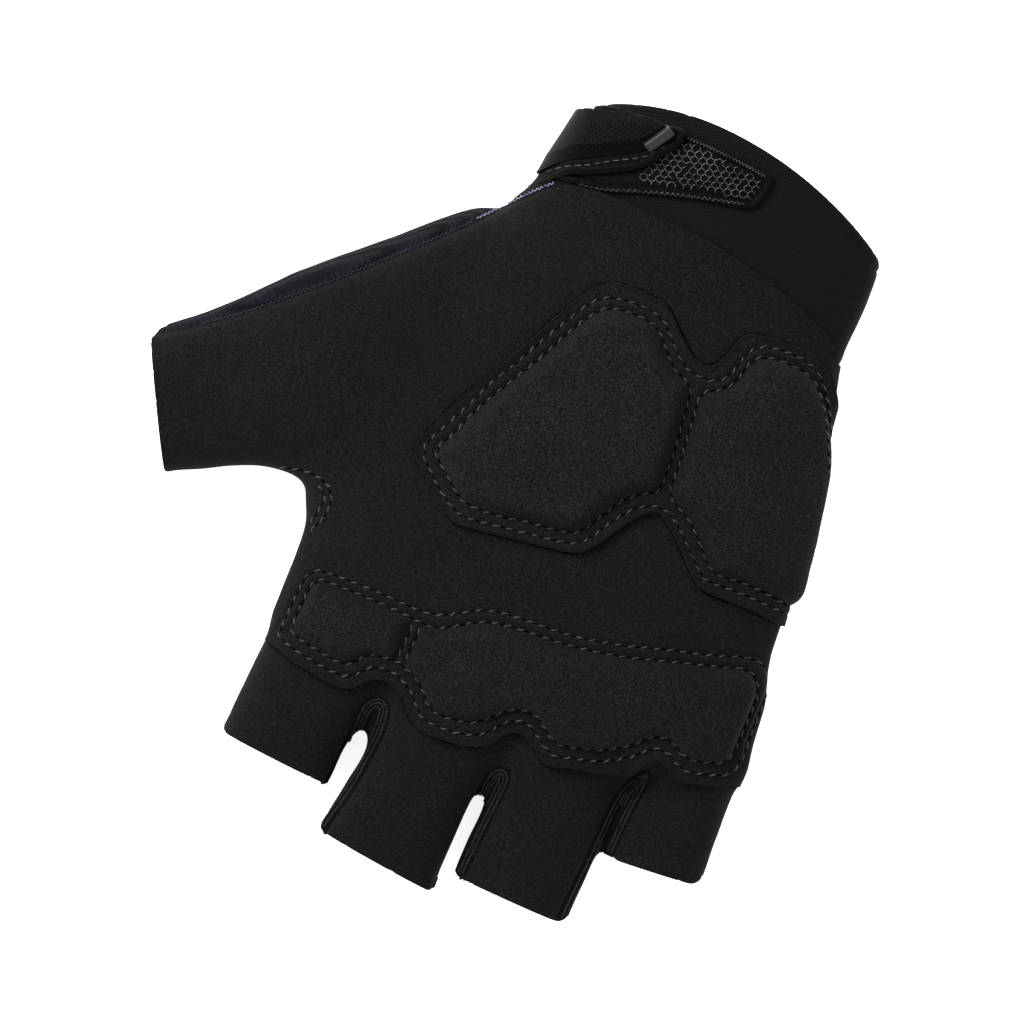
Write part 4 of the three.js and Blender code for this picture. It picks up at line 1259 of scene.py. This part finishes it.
def rowStitches(path, closed):
    # one dash and one needle hole for each pitch of the row
    spots = evenPath(path, stitchShape["pitch"], closed)
    heading = directionsOf(spots, closed)
    slantSpread, lengthSpread = stitchShape["uneven"]
    slant = np.radians(stitchShape["slant"] + dice.normal(0, slantSpread, len(spots)))
    lengths = stitchShape["length"] * (1 + dice.normal(0, lengthSpread, len(spots)))
    cos, sin = np.cos(slant), np.sin(slant)
    ahead, aside = heading.T
    along = np.column_stack([ahead * cos - aside * sin, ahead * sin + aside * cos])
    dashes = []
    shares = np.linspace(-0.5, 0.5, 7)
    rise = stitchShape["arch"] * np.cos(np.pi * shares * 1.25)
    for spot, way in zip(spots, along * lengths[:, None]):
        dashes += laidLine(spot + shares[:, None] * way, padSurfaces, rise)
    gaps = (spots + np.roll(spots, -1, axis=0)) / 2 if closed else (spots[1:] + spots[:-1]) / 2
    return dashes, gaps


def holePatch(spot, heading):
    # a dark oval of painted shade where the thread sinks into its needle hole
    long, wide = np.array(stitchShape["hole"]) * dice.uniform(0.75, 1.15)
    angles = 2 * np.pi * np.arange(stitchShape["holeSides"]) / stitchShape["holeSides"]
    side = np.array([-heading[1], heading[0]])
    rim = spot + np.cos(angles)[:, None] * heading * long + np.sin(angles)[:, None] * side * wide
    points, normals = drape(np.vstack([rim, [spot]]), padSurfaces)
    if np.isnan(points).any():
        return None
    rimRise, middleRise = stitchShape["holeRise"]
    lifted = points + normals * rimRise
    lifted[-1] += normals[-1] * middleRise
    return lifted


allDashes, holePoints, holeFaces = [], [], []
holeSides = stitchShape["holeSides"]
for path, closed in seamRows:
    dashes, gaps = rowStitches(path, closed)
    allDashes += dashes
    for spot, heading in zip(gaps, directionsOf(gaps, closed)):
        patch = holePatch(spot, heading)
        if patch is not None:
            base = (holeSides + 1) * len(holePoints)
            holePoints.append(patch)
            holeFaces += [(base + k, base + (k + 1) % holeSides, base + holeSides) for k in range(holeSides)]
threadPiece("padStitches", allDashes, stitchShape["radius"], "webbing", "stitchThread", lay=1.1, taper=0.6)
needleHoleShades = makeObject("needleHoleShades", np.vstack(holePoints), holeFaces)
finishPiece(needleHoleShades, None, "needleHole", 80)
say(f"{len(allDashes)} stitches")

# Dim dashes along the strap's binding
strapDashes = []
strapSpots = evenPath(smoothPath(strapShape["dashRow"], 6), strapShape["dashPitch"])
shares = np.linspace(-0.5, 0.5, 6)
for spot, way in zip(strapSpots, directionsOf(strapSpots, False)):
    dash = spot + shares[:, None] * way * strapShape["dashLength"]
    strapDashes += laidLine(dash, [strapSurface, gripSurface], strapShape["dashRise"])
threadPiece("strapThread", strapDashes, strapShape["dashRadius"], "webbing", "glintThread", lay=0.8,
            taper=0.6)


def stretches(points, normals, step, least, kept=True):
    # the lines that lie on a surface, have no step in height and are long enough
    fine = ~np.isnan(points).any(axis=1) & kept
    fine[1:] &= ~(np.abs(np.diff(points[:, 2])) > step)
    ends = np.flatnonzero(np.diff(np.concatenate([[0], fine.astype(int), [0]]))).reshape(-1, 2)
    return [(points[a:b], normals[a:b]) for a, b in ends if b - a > least]


def zigzag(path, pitch, width, surfaces, rise):
    # an overlock thread: crosses the seam from side to side
    spots = evenPath(path, pitch / 2)
    swing = np.where(np.arange(len(spots)) % 2, 1, -1)[:, None] * width / 2
    corners = spots + leftOf(spots, False) * swing
    dense = np.vstack([corners[:-1] + (corners[1:] - corners[:-1]) * t for t in (0, 0.25, 0.5, 0.75)])
    dense = dense.reshape(4, -1, 2).transpose(1, 0, 2).reshape(-1, 2)
    points, normals = drape(dense, surfaces)
    lines = []
    for line, upward in stretches(points, normals, 1.2, 3):
        waves = rise * (0.55 + 0.45 * np.cos(np.arange(len(line)) * np.pi / 2))
        lines.append((line + upward * waves[:, None], upward))
    return lines


# painted light along the thumb seam: the first stretch uses the lit copy of the thread, the rest the shaded
# copy
# Row, pitch, width and rise of the threads along the thumb seam
seamThreads = {
    "seamThreadBright": ([(23.4, -47.8), (26.5, -44.6), (29.4, -41.2), (32, -37.9), (35.2, -34)],
                         0.9, 0.42, 0.24, "seamThread"),
    "seamThreadDim": ([(35.4, -33.7), (40, -28), (50, -17), (60, -6.5), (70, 3.2), (78, 9.8)],
                      1.0, 0.55, 0.16, "darkSeamThread"),
}
seamSurfaces = [palmSurface, surfaceOf(back), cuffSurface]
for name, (row, pitch, width, rise, look) in seamThreads.items():
    seamLines = zigzag(smoothPath(row, 6), pitch, width, seamSurfaces, rise)
    threadPiece(name, seamLines, 0.1, "webbing", look, lay=0.7, sides=6)

# Hook net on the tape: raised filaments round six-sided cells


def netStrokes():
    across, along = hookTapeShape["cellAcross"], hookTapeShape["cellAlong"]
    half = 0.24 * across
    axis, side, origin = [np.array(hookTapeShape[key]) for key in ("netAxis", "netSide", "netStart")]
    strokes = []
    for j in range(-4, 24):
        for i in range(-2, 26):
            centre = origin + axis * along * (i + 0.5 * (j % 2)) + side * across * j
            top = centre + side * half
            strokes.append((centre - axis * along / 2 - side * half, top))
            strokes.append((top, centre + axis * along / 2 - side * half))
            strokes.append((top, centre + side * (across - half)))
    return strokes


def hookNet():
    jitter, inset, end = [hookTapeShape[key] for key in ("jitter", "netInset", "netEnd")]
    shares = np.linspace(0, 1, 4)
    low, arch = hookTapeShape["rise"]
    rise = low + arch * np.sin(np.pi * shares)
    lines = []
    for first, second in netStrokes():
        first, second = first + dice.normal(0, jitter, 2), second + dice.normal(0, jitter, 2)
        if dice.random() < hookTapeShape["missing"]:
            continue
        middle = (first + second) / 2
        if insideField(middle[None], hookOutline)[0] >= inset and middle[0] <= end:
            lines += laidLine(first + shares[:, None] * (second - first), [hookSurface], rise)
    return lines


threadPiece("hookThreads", hookNet(), hookTapeShape["filament"], "hooks", "hookFilament", plies=1, sides=5)
tapeEdges = {
    "tapeEdgeBright": ([(2.6, -67.3), (-5, -67.3), (-12, -67), (-15.6, -66.6)], 0.75, "hookFilament"),
    "tapeEdgeDull": ([(19, -49.4), (14, -50.4), (4.4, -54), (-5.5, -57.3), (-14.2, -59.8)], 1.1,
                     "dullFilament"),
}
for name, (row, pitch, look) in tapeEdges.items():
    edgeLines = zigzag(smoothPath(row, 6), pitch, 0.4, [hookSurface], 0.25)
    threadPiece(name, edgeLines, 0.1, "hooks", look, plies=1, sides=5)
say("threads")

# Cords sewn round the fourchettes

cordShape = {"insets": (0.4, 1.15, 1.9), "radius": 0.3, "lay": 1.6, "step": 0.28, "loopDepth": 9, "stop": 0.9,
             "rise": 0.12,
             "bareSide": {"fourchette_middle_ring": (-18.2, 75), "fourchette_index_middle": (12.5, 72)},
             "bareFrom": {"fourchette_middle_ring": 0, "fourchette_index_middle": 1}}


def insetPath(path, inset):
    area = np.sum(path[:, 0] * np.roll(path[:, 1], -1) - np.roll(path[:, 0], -1) * path[:, 1])
    return path + leftOf(path, True) * inset * np.sign(area)


def forkCords(name):
    lines = []
    path = forkPaths[name]
    crotch = path[:, 1].min()
    for number, inset in enumerate(cordShape["insets"]):
        route = evenPath(insetPath(path, inset), cordShape["step"], closed=True)
        route = np.roll(route, -int(np.argmax(route[:, 1])), axis=0)
        kept = np.ones(len(route), bool)
        for opening in openings:
            kept &= openingField(np.column_stack([route, np.zeros(len(route))]), opening) > cordShape["stop"]
        if name in cordShape["bareSide"] and number >= cordShape["bareFrom"][name]:
            edgeX, fromY = cordShape["bareSide"][name]
            kept &= (route[:, 0] < edgeX) | (route[:, 1] < fromY)
        if number == len(cordShape["insets"]) - 1:
            kept &= route[:, 1] < crotch + cordShape["loopDepth"]
        points, normals = drape(route, [forkSurfaces[name], palmSurface, fingerSurface])
        kept &= np.nan_to_num(points[:, 2]) > border["backLap"] + 1
        for line, upward in stretches(points, normals, 0.9, 8, kept):
            smooth = np.vstack([line[:1], (line[:-2] + line[1:-1] + line[2:]) / 3, line[-1:]])
            lines.append((smooth + upward * cordShape["rise"], upward))
    return lines


# Dark cords at the foot of the suede that lies on top: painted shadow under its edge, also standing for the
# darker cut edge
edgeShape = {"step": 0.5, "rise": 0.2, "radius": 0.26, "beside": 0.34, "inside": -0.3}
scallopX = border["scallop"][:, 0]
edgeRoutes = [
    (border["scallop"][(scallopX > -63.5) & (scallopX < 38.4)], edgeShape["beside"], [fingerSurface]),
    (insetPath(heelOutline, edgeShape["inside"]), 0.0, [palmSurface, cuffSurface]),
]
edgeLines = []
for route, shift, surfaces in edgeRoutes:
    route = evenPath(route, edgeShape["step"])
    points, normals = drape(route + leftOf(route, False) * shift, surfaces)
    above = np.nan_to_num(points[:, 2]) > border["sideSeam"] + 0.6
    for line, upward in stretches(points, normals, 0.9, 6, above):
        edgeLines.append((line + upward * edgeShape["rise"], upward))
threadPiece("rawEdgeShadows", edgeLines, edgeShape["radius"], "suede", "rawEdge", plies=1, sides=6)

cordLines = [line for name in forkPaths for line in forkCords(name)]
threadPiece("seamCords", cordLines, cordShape["radius"], "rib_knit", "ropeThread", plies=3,
            lay=cordShape["lay"], sides=9)
say("cords")

# Stage: pale floor, soft light from the upper left of the view, camera straight above

stage = {
    "lens": 200,
    "frameWidth": 0.212,
    "aim": (0.0027, 0.0177, 0.018),
    "turn": 205,
    "keyPlace": (0.62, -0.24, 0.62),
    "keySize": 0.4,
    "keyPower": 10.5,
    "fillPlace": (-0.6, 0.5, 0.7),
    "fillSize": 0.9,
    "fillPower": 1.0,
    "world": 0.85,
    "floorGlow": 0.8,
}


def setStage():
    bpy.ops.object.select_all(action="DESELECT")
    bpy.ops.mesh.primitive_plane_add(size=3, location=(0, 0, -0.0002))
    floor = bpy.context.object
    floor.name = "paleFloor"
    bpy.ops.object.transform_apply(location=True, rotation=True, scale=True)
    material, tree, shader, _ = startMaterial("paleFloor", 0.8)
    shader.inputs["Base Color"].default_value = (0.93, 0.93, 0.94, 1)
    shader.inputs["Emission Color"].default_value = (1, 1, 1, 1)
    shader.inputs["Emission Strength"].default_value = stage["floorGlow"]
    floor.data.materials.append(material)

    camera = bpy.data.objects.new("camera", bpy.data.cameras.new("camera"))
    scene.collection.objects.link(camera)
    camera.data.lens = stage["lens"]
    camera.data.clip_start = 0.01
    distance = stage["frameWidth"] * stage["lens"] / camera.data.sensor_width
    ax, ay, az = stage["aim"]
    camera.location = (ax, ay, az + distance)
    camera.rotation_euler = (0, 0, math.radians(stage["turn"]))
    scene.camera = camera

    for name in ("key", "fill"):
        light = bpy.data.lights.new(name, "AREA")
        light.size = stage[name + "Size"]
        light.energy = stage[name + "Power"]
        lamp = bpy.data.objects.new(name, light)
        scene.collection.objects.link(lamp)
        lamp.location = stage[name + "Place"]
        lamp.rotation_euler = (Vector(stage["aim"]) - lamp.location).to_track_quat("-Z", "Y").to_euler()

    world = bpy.data.worlds.new("studio")
    scene.world = world
    world.use_nodes = True
    world.node_tree.nodes["Background"].inputs["Color"].default_value = (1, 1, 1, 1)
    world.node_tree.nodes["Background"].inputs["Strength"].default_value = stage["world"]
    scene.view_settings.view_transform = "Standard"


setStage()
say("stage is set")
